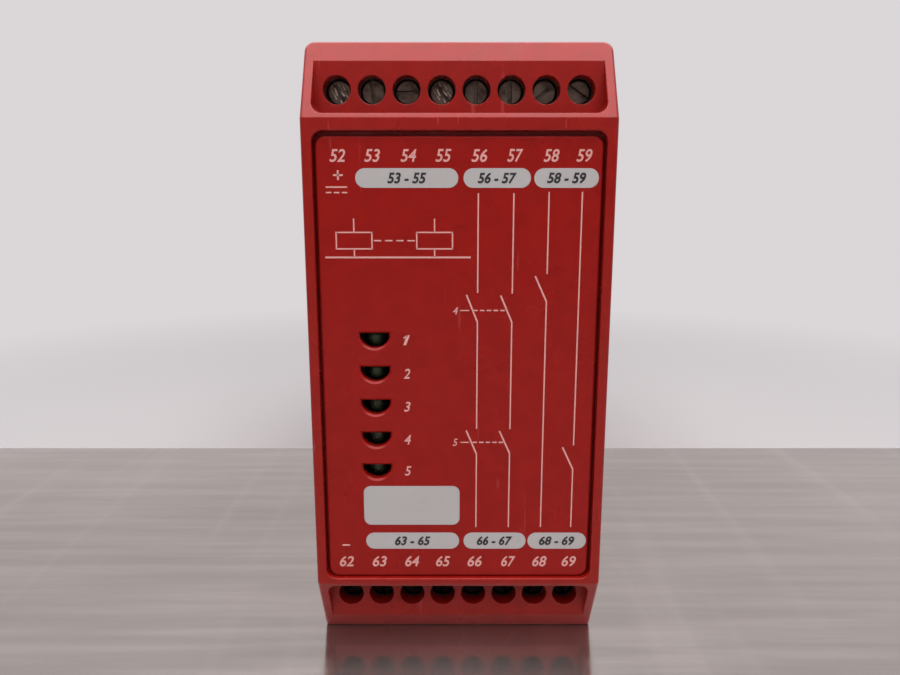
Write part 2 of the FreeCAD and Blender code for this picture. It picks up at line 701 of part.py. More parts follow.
# ---- Indicators -------------------------------------------------------------------
def lamp_front():
    """Depth of the lamps' tips."""
    return PLATE_BACK + LAMP_BEHIND_PLATE


def lamp_body_back():
    """Depth of the rear of the lamps' flanges, where they stand in the holder."""
    return lamp_front() + LAMP_LENGTH + LAMP_FLANGE


def lamp_solid(lamp):
    """Round lamp with a domed tip, a flange and two leads to the terminal board."""
    z = lamp_z(lamp)
    front = lamp_front()
    back = lamp_body_back()
    dome = Part.makeSphere(LAMP_RADIUS, Vector(LAMP_OFFSET, at(front + LAMP_RADIUS), z))
    barrel = rod_y(LAMP_RADIUS, LAMP_OFFSET, z, (front + LAMP_RADIUS, back))
    flange = rod_y(LAMP_FLANGE_RADIUS, LAMP_OFFSET, z, (back - LAMP_FLANGE, back))
    leads = [
        rod_y(LEAD_RADIUS, x, z, (back - LAMP_FLANGE / 2, BOARD_BACK + PIN_STICK_OUT)) for x in lead_places()
    ]
    return united([dome, barrel, flange] + leads)


def lead_places():
    """X of a lamp's two leads."""
    return (LAMP_OFFSET - LEAD_SPACING / 2, LAMP_OFFSET + LEAD_SPACING / 2)


def lamp_holder():
    """Spacer that holds the five lamps in line with their windows."""
    half = HOLDER_WIDTH / 2
    front = lamp_front() + LAMP_STICK_OUT
    low = lamp_z(LAMPS - 1) - HOLDER_MARGIN
    high = lamp_z(0) + HOLDER_MARGIN
    body = block((LAMP_OFFSET - half, LAMP_OFFSET + half), (front, STRIP_BACK), (low, high))
    bores = []
    for lamp in range(LAMPS):
        z = lamp_z(lamp)
        bores.append(rod_y(LAMP_FLANGE_RADIUS + FIT, LAMP_OFFSET, z, (front - FIT, lamp_body_back())))
        for x in lead_places():
            bores.append(rod_y(LEAD_RADIUS + FIT, x, z, (front, STRIP_BACK + FIT)))
    return body.cut(bores)


# ---- Rear shell -------------------------------------------------------------------
def shell_outside():
    """Outer form of the rear shell, with the recess and the upper hook for the rail."""
    lip = RAIL_HIGH - HOOK_OVERLAP
    outline = [
        (COVER_DEPTH, 0),
        (HOUSING_DEPTH - FOOT_CHAMFER, 0),
        (HOUSING_DEPTH, FOOT_CHAMFER),
        (HOUSING_DEPTH, RECESS_LOW),
        (SEAT, RECESS_LOW),
        (SEAT, RECESS_HIGH),
        (GROOVE_BACK, RECESS_HIGH),
        (GROOVE_BACK, lip),
        (HOUSING_DEPTH - LEAD_IN, lip),
        (HOUSING_DEPTH, lip + LEAD_IN),
        (HOUSING_DEPTH, HOUSING_HEIGHT - REAR_CHAMFER),
        (HOUSING_DEPTH - REAR_CHAMFER, HOUSING_HEIGHT),
        (COVER_DEPTH, HOUSING_HEIGHT),
    ]
    corners = rounded_panel(
        SIDE, (0, HOUSING_HEIGHT), (FOOT_CORNER_RADIUS, TOP_CORNER_RADIUS), (COVER_DEPTH, HOUSING_DEPTH)
    )
    return profile_prism(outline, SIDE + OVERRUN).common(corners)


def shell_cavity():
    """Space inside the shell. It reaches further back above the rail and beside the latch."""
    inner_top = HOUSING_HEIGHT - WALL
    above_rail = RECESS_HIGH + WALL
    deep = HOUSING_DEPTH - WALL
    outline = [
        (COVER_DEPTH - OVERRUN, WALL),
        (INNER_BACK, WALL),
        (INNER_BACK, above_rail),
        (deep, above_rail),
        (deep, HOUSING_HEIGHT - REAR_CHAMFER - WALL / 2),
        (HOUSING_DEPTH - REAR_CHAMFER - WALL / 2, inner_top),
        (COVER_DEPTH - OVERRUN, inner_top),
    ]
    main = profile_prism(outline, INNER_SIDE)
    beside_latch = block(
        (CHANNEL_HALF + WALL, INNER_SIDE), (INNER_BACK - FIT, deep), (WALL, RECESS_LOW - WALL)
    )
    return united([main] + both_sides(beside_latch))


def latch_channel():
    """T-shaped channel in the shell's foot, in which the latch slides."""
    height = (-OVERRUN, RECESS_LOW + OVERRUN)
    wide = block((-CHANNEL_HALF, CHANNEL_HALF), (SEAT, CHANNEL_FLANGE_BACK), height)
    neck = block((-CHANNEL_NECK_HALF, CHANNEL_NECK_HALF), (SEAT, HOUSING_DEPTH + OVERRUN), height)
    return wide.fuse(neck)


def spring_stop():
    """Block on the channel's floor that carries the lower end of the spring."""
    half = SPRING_POCKET_WIDTH / 2 - SLIDE
    return block(
        (-half, half),
        (SEAT - WALL / 2, SPRING_POCKET_BACK - SLIDE),
        (SPRING_STOP_LOW, SPRING_STOP_UP),
    )


def side_board_x():
    """X of the inner and outer faces of the board on the right."""
    outer = SIDE - SIDE_BOARD_MARGIN
    return (outer - BOARD_THICKNESS, outer)


def board_guides():
    """Pair of ribs on the floor, on the right, that hold the lower edge of a side board."""
    inner, outer = side_board_x()
    depth = (COVER_DEPTH + GUIDE_START, INNER_BACK + FIT)
    height = (WALL - FIT, WALL + GUIDE_RISE)
    inside = block((inner - FIT - GUIDE_WIDTH, inner - FIT), depth, height)
    outside = block((outer + FIT, outer + FIT + GUIDE_WIDTH), depth, height)
    return [inside, outside]


def vent_slots():
    """Rows of slots with round ends through the shell's lower end wall."""
    slots = []
    radius = VENT_WIDTH / 2
    straight = VENT_LENGTH / 2 - radius
    for row in VENT_ROWS:
        for n in range(VENTS):
            x = (n - (VENTS - 1) / 2) * VENT_PITCH
            middle = block((x - radius, x + radius), (row - straight, row + straight), (-FIT, WALL + FIT))
            ends = [rod_z(radius, x, row + side * straight, (-FIT, WALL + FIT)) for side in (-1, 1)]
            slots.append(united([middle] + ends))
    return slots


def catch_window(z):
    """Window in the right wall that a catch of the cover snaps into."""
    start = COVER_DEPTH + CATCH_SETBACK - FIT
    end = start + CATCH_LENGTH + 2 * FIT
    half = CATCH_HEIGHT / 2 + SLIDE
    return block((INNER_SIDE - FIT, SIDE + OVERRUN), (start, end), (z - half, z + half))


def rear_housing():
    """The moulded rear shell: five walls, rail hook, latch channel, guides and vents."""
    body = shell_outside().cut([shell_cavity(), latch_channel()])
    guides = []
    for rib in board_guides():
        for side_rib in both_sides(rib):
            guides += both_ends(side_rib)
    body = body.fuse(guides + [spring_stop()])
    cuts = []
    for slot in vent_slots():
        cuts += both_ends(slot)
    for z in catch_heights():
        cuts += both_sides(catch_window(z))
    return body.cut(cuts).removeSplitter()


# ---- Latch ------------------------------------------------------------------------
def rail_latch():
    """Sliding latch: flange in the channel, ridge, sloped nose, pull slot, spring pocket."""
    top = RECESS_LOW - FIT
    front = SEAT + SLIDE
    flange_back = front + LATCH_FLANGE
    back = HOUSING_DEPTH - SLIDE
    flange = block(
        (-LATCH_WIDTH / 2, LATCH_WIDTH / 2), (front, flange_back), (LATCH_FOOT_GAP, top)
    )
    outline = [
        (flange_back - FIT, LATCH_FOOT_GAP),
        (back, LATCH_FOOT_GAP),
        (back, top),
        (GROOVE_BACK + FIT + LATCH_NOSE / 2, top + LATCH_NOSE - LATCH_NOSE / 5),
        (GROOVE_BACK + FIT, top + LATCH_NOSE - LATCH_NOSE / 5),
        (GROOVE_BACK + FIT, top),
        (flange_back - FIT, top),
    ]
    ridge = profile_prism(outline, LATCH_RIDGE_WIDTH / 2)
    pull_slot = block(
        (-PULL_SLOT_WIDTH / 2, PULL_SLOT_WIDTH / 2),
        (front - OVERRUN, back + OVERRUN),
        (LATCH_FOOT_GAP + PULL_SLOT_UP, LATCH_FOOT_GAP + PULL_SLOT_UP + PULL_SLOT_HEIGHT),
    )
    pocket = block(
        (-SPRING_POCKET_WIDTH / 2, SPRING_POCKET_WIDTH / 2),
        (front - OVERRUN, SPRING_POCKET_BACK),
        (SPRING_STOP_LOW - SLIDE, SPRING_POCKET_TOP),
    )
    return united([flange, ridge]).cut([pull_slot, pocket])


def latch_spring():
    """Coil spring between the shell's stop and the top of the latch's pocket."""
    ends = FIT + SPRING_WIRE / 2
    height = SPRING_LENGTH - 2 * ends
    path_radius = SPRING_RADIUS - SPRING_WIRE / 2
    helix = Part.makeHelix(height / SPRING_TURNS, height, path_radius)
    section = Part.Wire(Part.makeCircle(SPRING_WIRE / 2, Vector(path_radius, 0, 0), Y_AXIS))
    coil = Part.Wire(helix.Edges).makePipeShell([section], True, True)
    middle = SEAT + SLIDE + SPRING_POCKET_WIDTH / 2
    coil.translate(Vector(0, at(middle), SPRING_STOP_UP + ends))
    return coil


# ---- Boards -----------------------------------------------------------------------
def terminal_board():
    """Board behind the strips and the lamp holder, drilled for their pins and leads."""
    half = INNER_SIDE - BOARD_EDGE_GAP
    end = WALL + BOARD_END_GAP
    board = block((-half, half), (STRIP_BACK, BOARD_BACK), (end, HOUSING_HEIGHT - end))
    depth = (STRIP_BACK - OVERRUN, BOARD_BACK + OVERRUN)
    holes = []
    for pole in range(POLES):
        hole = rod_y(PIN_HOLE_RADIUS, pole_x(pole), bar_foot_high() - BAR_FOOT / 2, depth)
        holes += both_ends(hole)
    for lamp in range(LAMPS):
        holes += [rod_y(LEAD_HOLE_RADIUS, x, lamp_z(lamp), depth) for x in lead_places()]
    return board.cut(holes)


def side_board():
    """Board along the right wall, held in the guides of the rear shell."""
    front = BOARD_BACK + SIDE_BOARD_FRONT
    low = WALL + FIT
    return block(side_board_x(), (front, INNER_BACK - SIDE_BOARD_REAR), (low, HOUSING_HEIGHT - low))


def board_header():
    """Connector between the terminal board and the side board on the right."""
    inner = side_board_x()[0]
    body = block(
        (inner - HEADER_WIDTH, inner),
        (BOARD_BACK, BOARD_BACK + HEADER_LENGTH),
        (MIDDLE - HEADER_HEIGHT / 2, MIDDLE + HEADER_HEIGHT / 2),
    )
    long_edges = [edge for edge in body.Edges if edge.BoundBox.ZLength > HEADER_HEIGHT - FIT]
    return body.makeChamfer(FIT * 3, long_edges[:1])


def relay(z):
    """Relay with guided contacts, in its case, on the left board."""
    base = -side_board_x()[0]
    facing = side_board_x()[0] - VARISTOR_LEG - 2 * VARISTOR_RADIUS
    case = block(
        (base, facing - RELAY_GAP),
        (RELAY_FRONT, RELAY_FRONT + RELAY_LENGTH),
        (z - RELAY_WIDTH / 2, z + RELAY_WIDTH / 2),
    )
    outer_edges = [edge for edge in case.Edges if edge.BoundBox.XMin > base + FIT]
    return case.makeFillet(RELAY_EDGE, outer_edges)


def supply_depth(step):
    """Depth of the middle of a supply part, counted back from the first."""
    return SUPPLY_FRONT + step * SUPPLY_STEP


def smoothing_capacitor():
    """Electrolytic capacitor that stands on the right board, with its crimped groove."""
    groove = CAPACITOR_LENGTH / 6
    profile = [
        (0, 0),
        (CAPACITOR_RADIUS, 0),
        (CAPACITOR_RADIUS, groove),
        (CAPACITOR_RADIUS - CAPACITOR_GROOVE, groove + CAPACITOR_GROOVE),
        (CAPACITOR_RADIUS, groove + 2 * CAPACITOR_GROOVE),
        (CAPACITOR_RADIUS, CAPACITOR_LENGTH - CAPACITOR_GROOVE),
        (CAPACITOR_RADIUS - CAPACITOR_GROOVE, CAPACITOR_LENGTH),
        (0, CAPACITOR_LENGTH),
    ]
    foot = Vector(side_board_x()[0], at(supply_depth(0)), MIDDLE + SUPPLY_ROW)
    return turned(profile, foot, Vector(-1, 0, 0))


def voltage_regulator():
    """Regulator on the right board: moulded body and a drilled metal tab."""
    face = side_board_x()[0]
    height, length, width = REGULATOR_SIZE
    tab_height, tab_length, tab_width = REGULATOR_TAB
    depth = supply_depth(1)
    low = MIDDLE + SUPPLY_ROW - width / 2
    body = block((face - height, face), (depth - length / 2, depth + length / 2), (low, low + width))
    tab = block(
        (face - tab_height, face),
        (depth - tab_length / 2, depth + tab_length / 2),
        (low + width - FIT, low + width + tab_width),
    )
    hole = Part.makeCylinder(
        REGULATOR_HOLE_RADIUS,
        tab_height + 2 * OVERRUN,
        Vector(face + OVERRUN, at(depth), low + width + tab_width / 2),
        Vector(-1, 0, 0),
    )
    return united([body, tab]).cut(hole)


def varistor():
    """Disc varistor that stands on its foot on the right board."""
    face = side_board_x()[0]
    depth = supply_depth(2)
    middle = Vector(face - VARISTOR_LEG - VARISTOR_RADIUS, at(depth - VARISTOR_THICKNESS / 2), MIDDLE + SUPPLY_ROW)
    disc = Part.makeCylinder(VARISTOR_RADIUS, VARISTOR_THICKNESS, middle, Y_AXIS)
    foot = block(
        (face - VARISTOR_LEG - VARISTOR_RADIUS, face),
        (depth - VARISTOR_THICKNESS / 4, depth + VARISTOR_THICKNESS / 4),
        (MIDDLE + SUPPLY_ROW - VARISTOR_RADIUS / 2, MIDDLE + SUPPLY_ROW + VARISTOR_RADIUS / 2),
    )
    return united([disc, foot])


def supply_fuse():
    """Round fuse that stands on the right board."""
    foot = Vector(side_board_x()[0], at(supply_depth(0)), MIDDLE - SUPPLY_ROW)
    profile = [
        (0, 0),
        (FUSE_RADIUS, 0),
        (FUSE_RADIUS, FUSE_LENGTH - CAPACITOR_GROOVE),
        (FUSE_RADIUS - CAPACITOR_GROOVE, FUSE_LENGTH),
        (0, FUSE_LENGTH),
    ]
    return turned(profile, foot, Vector(-1, 0, 0))


def logic_chip():
    """Logic chip on the right board, with the round notch at its first pin."""
    face = side_board_x()[0]
    height, length, width = CHIP_SIZE
    z = MIDDLE - SUPPLY_ROW
    depth = supply_depth(1)
    body = block((face - height, face), (depth - length / 2, depth + length / 2), (z - width / 2, z + width / 2))
    notch = Part.makeCylinder(
        CHIP_NOTCH, height / 2, Vector(face - height, at(depth - length / 2), z), X_AXIS
    )
    return body.cut(notch)


# ---- The assembly -----------------------------------------------------------------
def assembly():
    """Every node of the relay, by name."""
    strip = terminal_strip()
    bars = current_bars()
    board = side_board()
    header = board_header()
    parts = {
        "front_cover": front_cover(),
        "rear_housing": rear_housing(),
        "label_plate": label_plate(),
        "rail_latch": rail_latch(),
        "latch_spring": latch_spring(),
        "bottom_terminal_strip": strip,
        "top_terminal_strip": mirrored_up(strip),
        "bottom_current_bars": bars,
        "top_current_bars": mirrored_up(bars),
        "terminal_board": terminal_board(),
        "supply_board": board,
        "relay_board": both_sides(board)[1],
        "supply_header": header,
        "relay_header": both_sides(header)[1],
        "lamp_holder": lamp_holder(),
        "relay_k1": relay(MIDDLE + RELAY_SPACING / 2),
        "relay_k2": relay(MIDDLE - RELAY_SPACING / 2),
        "smoothing_capacitor": smoothing_capacitor(),
        "voltage_regulator": voltage_regulator(),
        "varistor": varistor(),
        "supply_fuse": supply_fuse(),
        "logic_chip": logic_chip(),
    }
    for lamp in range(LAMPS):
        parts[f"lamp_{lamp + 1}"] = lamp_solid(lamp)
    rows = (
        ("top", HOUSING_HEIGHT - SCREW_ROW, TOP_SLOT_ANGLES),
        ("bottom", SCREW_ROW, BOTTOM_SLOT_ANGLES),
    )
    for row, z, angles in rows:
        for pole in range(POLES):
            angle = angles[pole % len(angles)]
            parts[f"{row}_screw_{pole + 1}"] = terminal_screw(pole_x(pole), z, angle)
            parts[f"{row}_clamp_{pole + 1}"] = terminal_clamp(pole_x(pole), z)
    return parts


def main():
    """Writes each node as a STEP file."""
    os.makedirs("parts", exist_ok=True)
    for name, shape in assembly().items():
        shape.exportStep(f"parts/{name}.step")
        print(f"{name}: {len(shape.Solids)} solid(s), {shape.Volume:.1f} mm3, valid {shape.isValid()}")


main()
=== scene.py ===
"""Looks of a rail-mounted safety relay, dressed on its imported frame.

The frame's nodes keep their shape and get their finishes here. New pieces add what is
printed on the label plate, the torn screw slots, and the small parts on the boards that
show through the vents. All lengths are in metres unless a name ends in _mm.
"""

import logging
import math
from contextlib import contextmanager
from dataclasses import dataclass, field
from enum import Enum
from typing import Callable, Iterator, Optional

import bpy
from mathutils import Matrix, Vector

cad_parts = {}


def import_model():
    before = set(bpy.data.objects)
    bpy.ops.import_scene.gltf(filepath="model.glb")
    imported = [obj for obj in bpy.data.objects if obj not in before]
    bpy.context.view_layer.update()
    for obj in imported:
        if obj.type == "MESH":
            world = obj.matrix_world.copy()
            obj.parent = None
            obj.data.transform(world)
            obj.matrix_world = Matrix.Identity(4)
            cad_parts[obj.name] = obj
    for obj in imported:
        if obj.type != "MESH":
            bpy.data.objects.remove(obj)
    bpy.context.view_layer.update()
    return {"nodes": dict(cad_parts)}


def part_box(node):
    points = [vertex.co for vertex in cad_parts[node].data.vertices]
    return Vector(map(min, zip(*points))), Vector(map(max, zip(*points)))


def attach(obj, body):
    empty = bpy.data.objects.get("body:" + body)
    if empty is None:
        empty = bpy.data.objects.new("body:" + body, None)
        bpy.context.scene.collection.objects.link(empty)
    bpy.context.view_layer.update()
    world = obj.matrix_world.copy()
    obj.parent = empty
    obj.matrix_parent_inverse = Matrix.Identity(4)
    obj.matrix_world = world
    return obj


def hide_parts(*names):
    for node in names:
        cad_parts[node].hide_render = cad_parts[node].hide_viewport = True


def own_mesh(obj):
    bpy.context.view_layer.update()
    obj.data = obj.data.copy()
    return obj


LOG = logging.getLogger("safety_relay")
MM = 0.001
WELD = 1e-7

Colour = tuple[float, float, float]
Point = tuple[float, float, float]
Span = tuple[float, float]
Inputs = dict[object, object]
Socket = bpy.types.NodeSocket
Sockets = dict[str, Socket]
Piece = bpy.types.Object
Nodes = dict[str, Piece]


def toned(colour: Colour, gain: float, lift: float = 0.0) -> Colour:
    """A colour times a gain plus a lift, held at 1."""
    return tuple(min(1.0, channel * gain + lift) for channel in colour)


def srgb(*levels: int) -> Colour:
    """Linear colour of a display colour's three levels, each 0 to 255."""
    shares = (level / 255 for level in levels)
    return tuple(s / 12.92 if s <= 0.04045 else ((s + 0.055) / 1.055) ** 2.4 for s in shares)


BACKDROP = srgb(219, 214, 216)


# ---- Wiring of node trees ---------------------------------------------------------
class Wiring:
    """A node tree being wired, with short calls for the nodes that the finishes use."""

    def __init__(self, tree: bpy.types.NodeTree) -> None:
        """Takes the tree to wire."""
        self.tree = tree

    def node(self, kind: str, **settings: object) -> bpy.types.Node:
        """Adds a node.

        Args:
            kind: The node's type, without its ShaderNode prefix where it has one.
            **settings: Attributes to set on it.

        Returns:
            The new node.
        """
        full = kind if kind.startswith("Node") else "ShaderNode" + kind
        made = self.tree.nodes.new(full)
        for name, value in settings.items():
            setattr(made, name, value)
        return made

    def feed(self, socket: Socket, value: object) -> None:
        """Links a socket to another, or sets its default where value is a constant.

        Args:
            socket: The input to feed.
            value: An output socket, a number, or a colour of three channels.
        """
        if isinstance(value, Socket):
            self.tree.links.new(value, socket)
        elif isinstance(value, tuple) and len(value) == 3 and socket.type == "RGBA":
            socket.default_value = (*value, 1.0)
        else:
            socket.default_value = value

    def shader(self) -> bpy.types.Node:
        """The Principled shader of a material's tree."""
        return self.tree.nodes["Principled BSDF"]

    def fed(self, kind: str, output: object, inputs: Inputs, **settings: object) -> Socket:
        """Adds a node, feeds it and gives one of its outputs.

        Args:
            kind: The node's type, as for node().
            output: Name or number of the output.
            inputs: What its inputs take, by name or number.
            **settings: Attributes to set on it.

        Returns:
            The output.
        """
        node = self.node(kind, **settings)
        for name, value in inputs.items():
            self.feed(node.inputs[name], value)
        return node.outputs[output]

    def place(self) -> Socket:
        """Object coordinates of the point being shaded."""
        return self.fed("TexCoord", "Object", {})

    def mapped(self, vector: Socket, scale: Point, turn: Point = (0, 0, 0)) -> Socket:
        """Coordinates scaled along each axis and turned about it, in radians."""
        return self.fed("Mapping", 0, {"Vector": vector, "Scale": scale, "Rotation": turn})

    def noise(
        self, vector: Socket, scale: float, detail: float = 2.0, roughness: float = 0.5
    ) -> Socket:
        """Noise from 0 to 1: waves for each metre, finer octaves, and the share of each."""
        inputs = {"Vector": vector, "Scale": scale, "Detail": detail, "Roughness": roughness}
        return self.fed("TexNoise", "Fac", inputs)

    def sum(self, operation: str, *values: object) -> Socket:
        """Result of a math node."""
        return self.fed("Math", 0, dict(enumerate(values)), operation=operation)

    def ranged(
        self, value: object, low: float, high: float, to_low: float = 0.0, to_high: float = 1.0
    ) -> Socket:
        """A value mapped smoothly from one range to another, and held at its ends."""
        inputs = dict(enumerate((value, low, high, to_low, to_high)))
        return self.fed("MapRange", "Result", inputs, interpolation_type="SMOOTHSTEP")

    def mixed(self, share: object, first: object, second: object) -> Socket:
        """Blend of two colours, by the share of the second from 0 to 1."""
        return self.fed("Mix", 2, {0: share, 6: first, 7: second}, data_type="RGBA")

    def layered(self, base: object, *layers: tuple[Socket, float, object]) -> Socket:
        """Colour with others laid over it.

        Args:
            base: The lowest colour.
            *layers: Mask, share and colour of each layer above it.

        Returns:
            The colour with its layers.
        """
        for mask, share, colour in layers:
            base = self.mixed(self.sum("MULTIPLY", mask, share), base, colour)
        return base

    def axis(self, vector: Socket, name: str) -> Socket:
        """Length of a vector along X, Y or Z."""
        return self.fed("SeparateXYZ", name, {0: vector})

    def bump(
        self, height: Socket, depth: float, strength: float, normal: Optional[Socket] = None
    ) -> Socket:
        """Normal tilted by a height map, on a given normal or on the surface's own."""
        inputs = {"Height": height, "Distance": depth, "Strength": strength}
        return self.fed("Bump", "Normal", inputs | ({"Normal": normal} if normal else {}))

    def rounded(self, radius: float) -> Socket:
        """Normal that runs round sharp edges, within a radius."""
        return self.fed("Bevel", "Normal", {"Radius": radius}, samples=4)

    def effect(self, group: bpy.types.NodeTree, **inputs: object) -> Sockets:
        """Places a shared effect.

        Args:
            group: The effect's node group.
            **inputs: Its inputs by name.

        Returns:
            Its outputs by name.
        """
        placed = self.node("Group", node_tree=group)
        for name, value in inputs.items():
            self.feed(placed.inputs[name], value)
        return {socket.name: socket for socket in placed.outputs}


# ---- Shared effects ---------------------------------------------------------------
@dataclass
class Effects:
    """Node groups that several finishes share, each built on its first use."""

    built: dict[str, bpy.types.NodeTree] = field(default_factory=dict)

    def group(
        self,
        name: str,
        inputs: dict[str, Optional[float]],
        outputs: tuple[str, ...],
        wire: Callable[[Wiring, Sockets], Sockets],
    ) -> bpy.types.NodeTree:
        """Builds a group where it isn't built yet.

        Args:
            name: The group's name.
            inputs: Default of each number that it takes, or None for a vector.
            outputs: Names of the values that it puts out.
            wire: Wires the group from its inputs and returns what each output takes.

        Returns:
            The node group.
        """
        if name in self.built:
            return self.built[name]
        tree = bpy.data.node_groups.new(name, "ShaderNodeTree")
        for label, default in inputs.items():
            kind = "NodeSocketVector" if default is None else "NodeSocketFloat"
            socket = tree.interface.new_socket(label, in_out="INPUT", socket_type=kind)
            if default is not None:
                socket.default_value = default
        for label in outputs:
            tree.interface.new_socket(label, in_out="OUTPUT", socket_type="NodeSocketFloat")
        w = Wiring(tree)
        entry = w.node("NodeGroupInput")
        results = wire(w, {socket.name: socket for socket in entry.outputs if socket.name})
        leave = w.node("NodeGroupOutput")
        for label, socket in results.items():
            w.feed(leave.inputs[label], socket)
        self.built[name] = tree
        return tree

    def moulded_grain(self) -> bpy.types.NodeTree:
        """Fine spark-eroded grain of a mould, with slow waviness of the wall.

        Returns:
            The node group.
        """

        def wire(w: Wiring, given: Sockets) -> Sockets:
            """Wires the grain.

            Args:
                w: The group's tree.
                given: The group's inputs by name.

            Returns:
                What each output takes.
            """
            fine = w.noise(given["Place"], given["Scale"], 3.0, 0.6)
            slow = w.noise(given["Place"], 90.0, 1.0)
            height = w.sum("MULTIPLY_ADD", slow, 2.5, fine)
            mottle = w.noise(given["Place"], 420.0, 3.0, 0.55)
            return {"Height": height, "Mottle": mottle}

        return self.group(
            "Moulded grain", {"Place": None, "Scale": 4200.0}, ("Height", "Mottle"), wire
        )

    def handling(self) -> bpy.types.NodeTree:
        """Marks of use: thin scratches in two directions, greasy smudges and dust specks.

        Returns:
            The node group.
        """

        def wire(w: Wiring, given: Sockets) -> Sockets:
            """Wires the marks.

            Args:
                w: The group's tree.
                given: The group's inputs by name.

            Returns:
                What each output takes.
            """
            place = given["Place"]
            strokes = []
            for scale, turn in (
                ((60, 900, 60), (0.2, 0.5, 0.9)),
                ((1100, 70, 80), (0.7, -0.4, 0.3)),
            ):
                lines = w.noise(w.mapped(place, scale, turn), 1.0, 1.0)
                strokes.append(w.ranged(lines, 0.69, 0.73))
            broken = w.ranged(w.noise(place, 160.0, 2.0), 0.52, 0.62)
            scratches = w.sum("MULTIPLY", w.sum("MAXIMUM", *strokes), broken)
            smudges = w.ranged(w.noise(place, 75.0, 3.0, 0.6), 0.46, 0.68)
            specks = w.ranged(w.noise(place, 2600.0, 1.0), 0.72, 0.78)
            marks = zip(names, (scratches, smudges, specks))
            return {name: w.sum("MULTIPLY", mark, given["Amount"]) for name, mark in marks}

        names = ("Scratches", "Smudges", "Specks")
        return self.group("Handling", {"Place": None, "Amount": 1.0}, names, wire)

    def rubbed_edges(self) -> bpy.types.NodeTree:
        """Mask of the edges, broken up, from a rounded normal that leaves the true one.

        Returns:
            The node group.
        """

        def wire(w: Wiring, given: Sockets) -> Sockets:
            """Wires the mask.

            Args:
                w: The group's tree.
                given: The group's inputs by name.

            Returns:
                What each output takes.
            """
            true = w.fed("NewGeometry", "True Normal", {})
            both = {0: given["Rounded"], 1: true}
            dot = w.fed("VectorMath", "Value", both, operation="DOT_PRODUCT")
            edge = w.ranged(dot, 0.999, 0.93)
            patches = w.ranged(w.noise(given["Place"], 350.0, 4.0, 0.65), 0.42, 0.66)
            return {"Mask": w.sum("MULTIPLY", edge, patches)}

        return self.group("Rubbed edges", {"Rounded": None, "Place": None}, ("Mask",), wire)


EFFECTS = Effects()


# ---- Finishes ---------------------------------------------------------------------
MADE: dict[str, bpy.types.Material] = {}


@dataclass(frozen=True)
class Finish:
    """A finish, made into one material that every piece with the finish shares."""

    name: str

    def material(self) -> bpy.types.Material:
        """The finish's material, wired on first use.

        Returns:
            The material.
        """
        if self.name in MADE:
            return MADE[self.name]
        made = bpy.data.materials.new(self.name)
        MADE[self.name] = made
        made.use_nodes = True
        w = Wiring(made.node_tree)
        for name, value in self.wire(w).items():
            w.feed(w.shader().inputs[name], value)
        return made

    def wire(self, w: Wiring) -> Inputs:
        """Wires the finish into its shader.

        Args:
            w: The material's node tree.

        Returns:
            What the shader's inputs take.
        """
        raise NotImplementedError

    def dress(self, *pieces: Piece) -> None:
        """Gives the finish to pieces, in place of what they had.

        Args:
            *pieces: The pieces.
        """
        for piece in pieces:
            piece.data.materials.clear()
            piece.data.materials.append(self.material())


@dataclass(frozen=True)
class MouldedPlastic(Finish):
    """Moulded plastic with spark grain, marks of use and paler rubbed edges."""

    colour: Colour = (0.3, 0.02, 0.02)
    shade: float = 0.12
    roughness: float = 0.42
    grain_mm: float = 0.012
    grain_scale: float = 4200.0
    wear: float = 1.0
    edge_mm: float = 0.12
    dust: float = 0.5
    ior: float = 1.5

    def wire(self, w: Wiring) -> Inputs:
        """Wires colour, roughness and grain.

        Args:
            w: The material's node tree.

        Returns:
            What the shader's inputs take.
        """
        place = w.place()
        grain = w.effect(EFFECTS.moulded_grain(), Place=place, Scale=self.grain_scale)
        marks = w.effect(EFFECTS.handling(), Place=place, Amount=self.wear)
        rounded = w.rounded(self.edge_mm * MM)
        edges = w.effect(EFFECTS.rubbed_edges(), Rounded=rounded, Place=place)
        dark = toned(self.colour, 1 - self.shade)
        pale = toned(self.colour, 1.25, 0.05)
        body = w.layered(
            w.mixed(w.ranged(grain["Mottle"], 0.3, 0.7), dark, self.colour),
            (marks["Smudges"], 0.10 * self.dust, toned(self.colour, 0.75, 0.06)),
            (marks["Specks"], 0.5 * self.dust, pale),
            (marks["Scratches"], 0.45, pale),
            (edges["Mask"], 0.35 * self.wear, toned(self.colour, 1.1, 0.12)),
        )
        rough = w.ranged(marks["Smudges"], 0.0, 1.0, self.roughness, self.roughness - 0.08)
        scored = w.sum("MULTIPLY_ADD", marks["Scratches"], -1.5, grain["Height"])
        return {
            "Base Color": body,
            "Roughness": w.sum("MULTIPLY_ADD", marks["Scratches"], 0.2, rough),
            "Normal": w.bump(scored, self.grain_mm * MM, 0.6, rounded),
            "IOR": self.ior,
        }


@dataclass(frozen=True)
class Ink(Finish):
    """Printed ink: an even film, worn thin in places, over what it is printed on."""

    colour: Colour = (0.8, 0.8, 0.8)
    under: Colour = (0.3, 0.02, 0.02)
    thin: float = 0.25
    roughness: float = 0.45
    relief_mm: float = 0.004

    def wire(self, w: Wiring) -> Inputs:
        """Wires the film's cover and its roughness.

        Args:
            w: The material's node tree.

        Returns:
            What the shader's inputs take.
        """
        place = w.place()
        patches = w.noise(place, 900.0, 4.0, 0.7)
        soft = w.noise(place, 120.0, 2.0)
        cover = w.sum("MULTIPLY", w.ranged(patches, 0.35, 0.75), w.ranged(soft, 0.3, 0.8))
        bare = w.sum("MULTIPLY", cover, self.thin)
        rough = w.ranged(patches, 0.2, 0.8, self.roughness - 0.06, self.roughness + 0.1)
        return {
            "Base Color": w.mixed(bare, self.colour, self.under),
            "Roughness": rough,
            "Normal": w.bump(patches, self.relief_mm * MM, 0.5),
        }


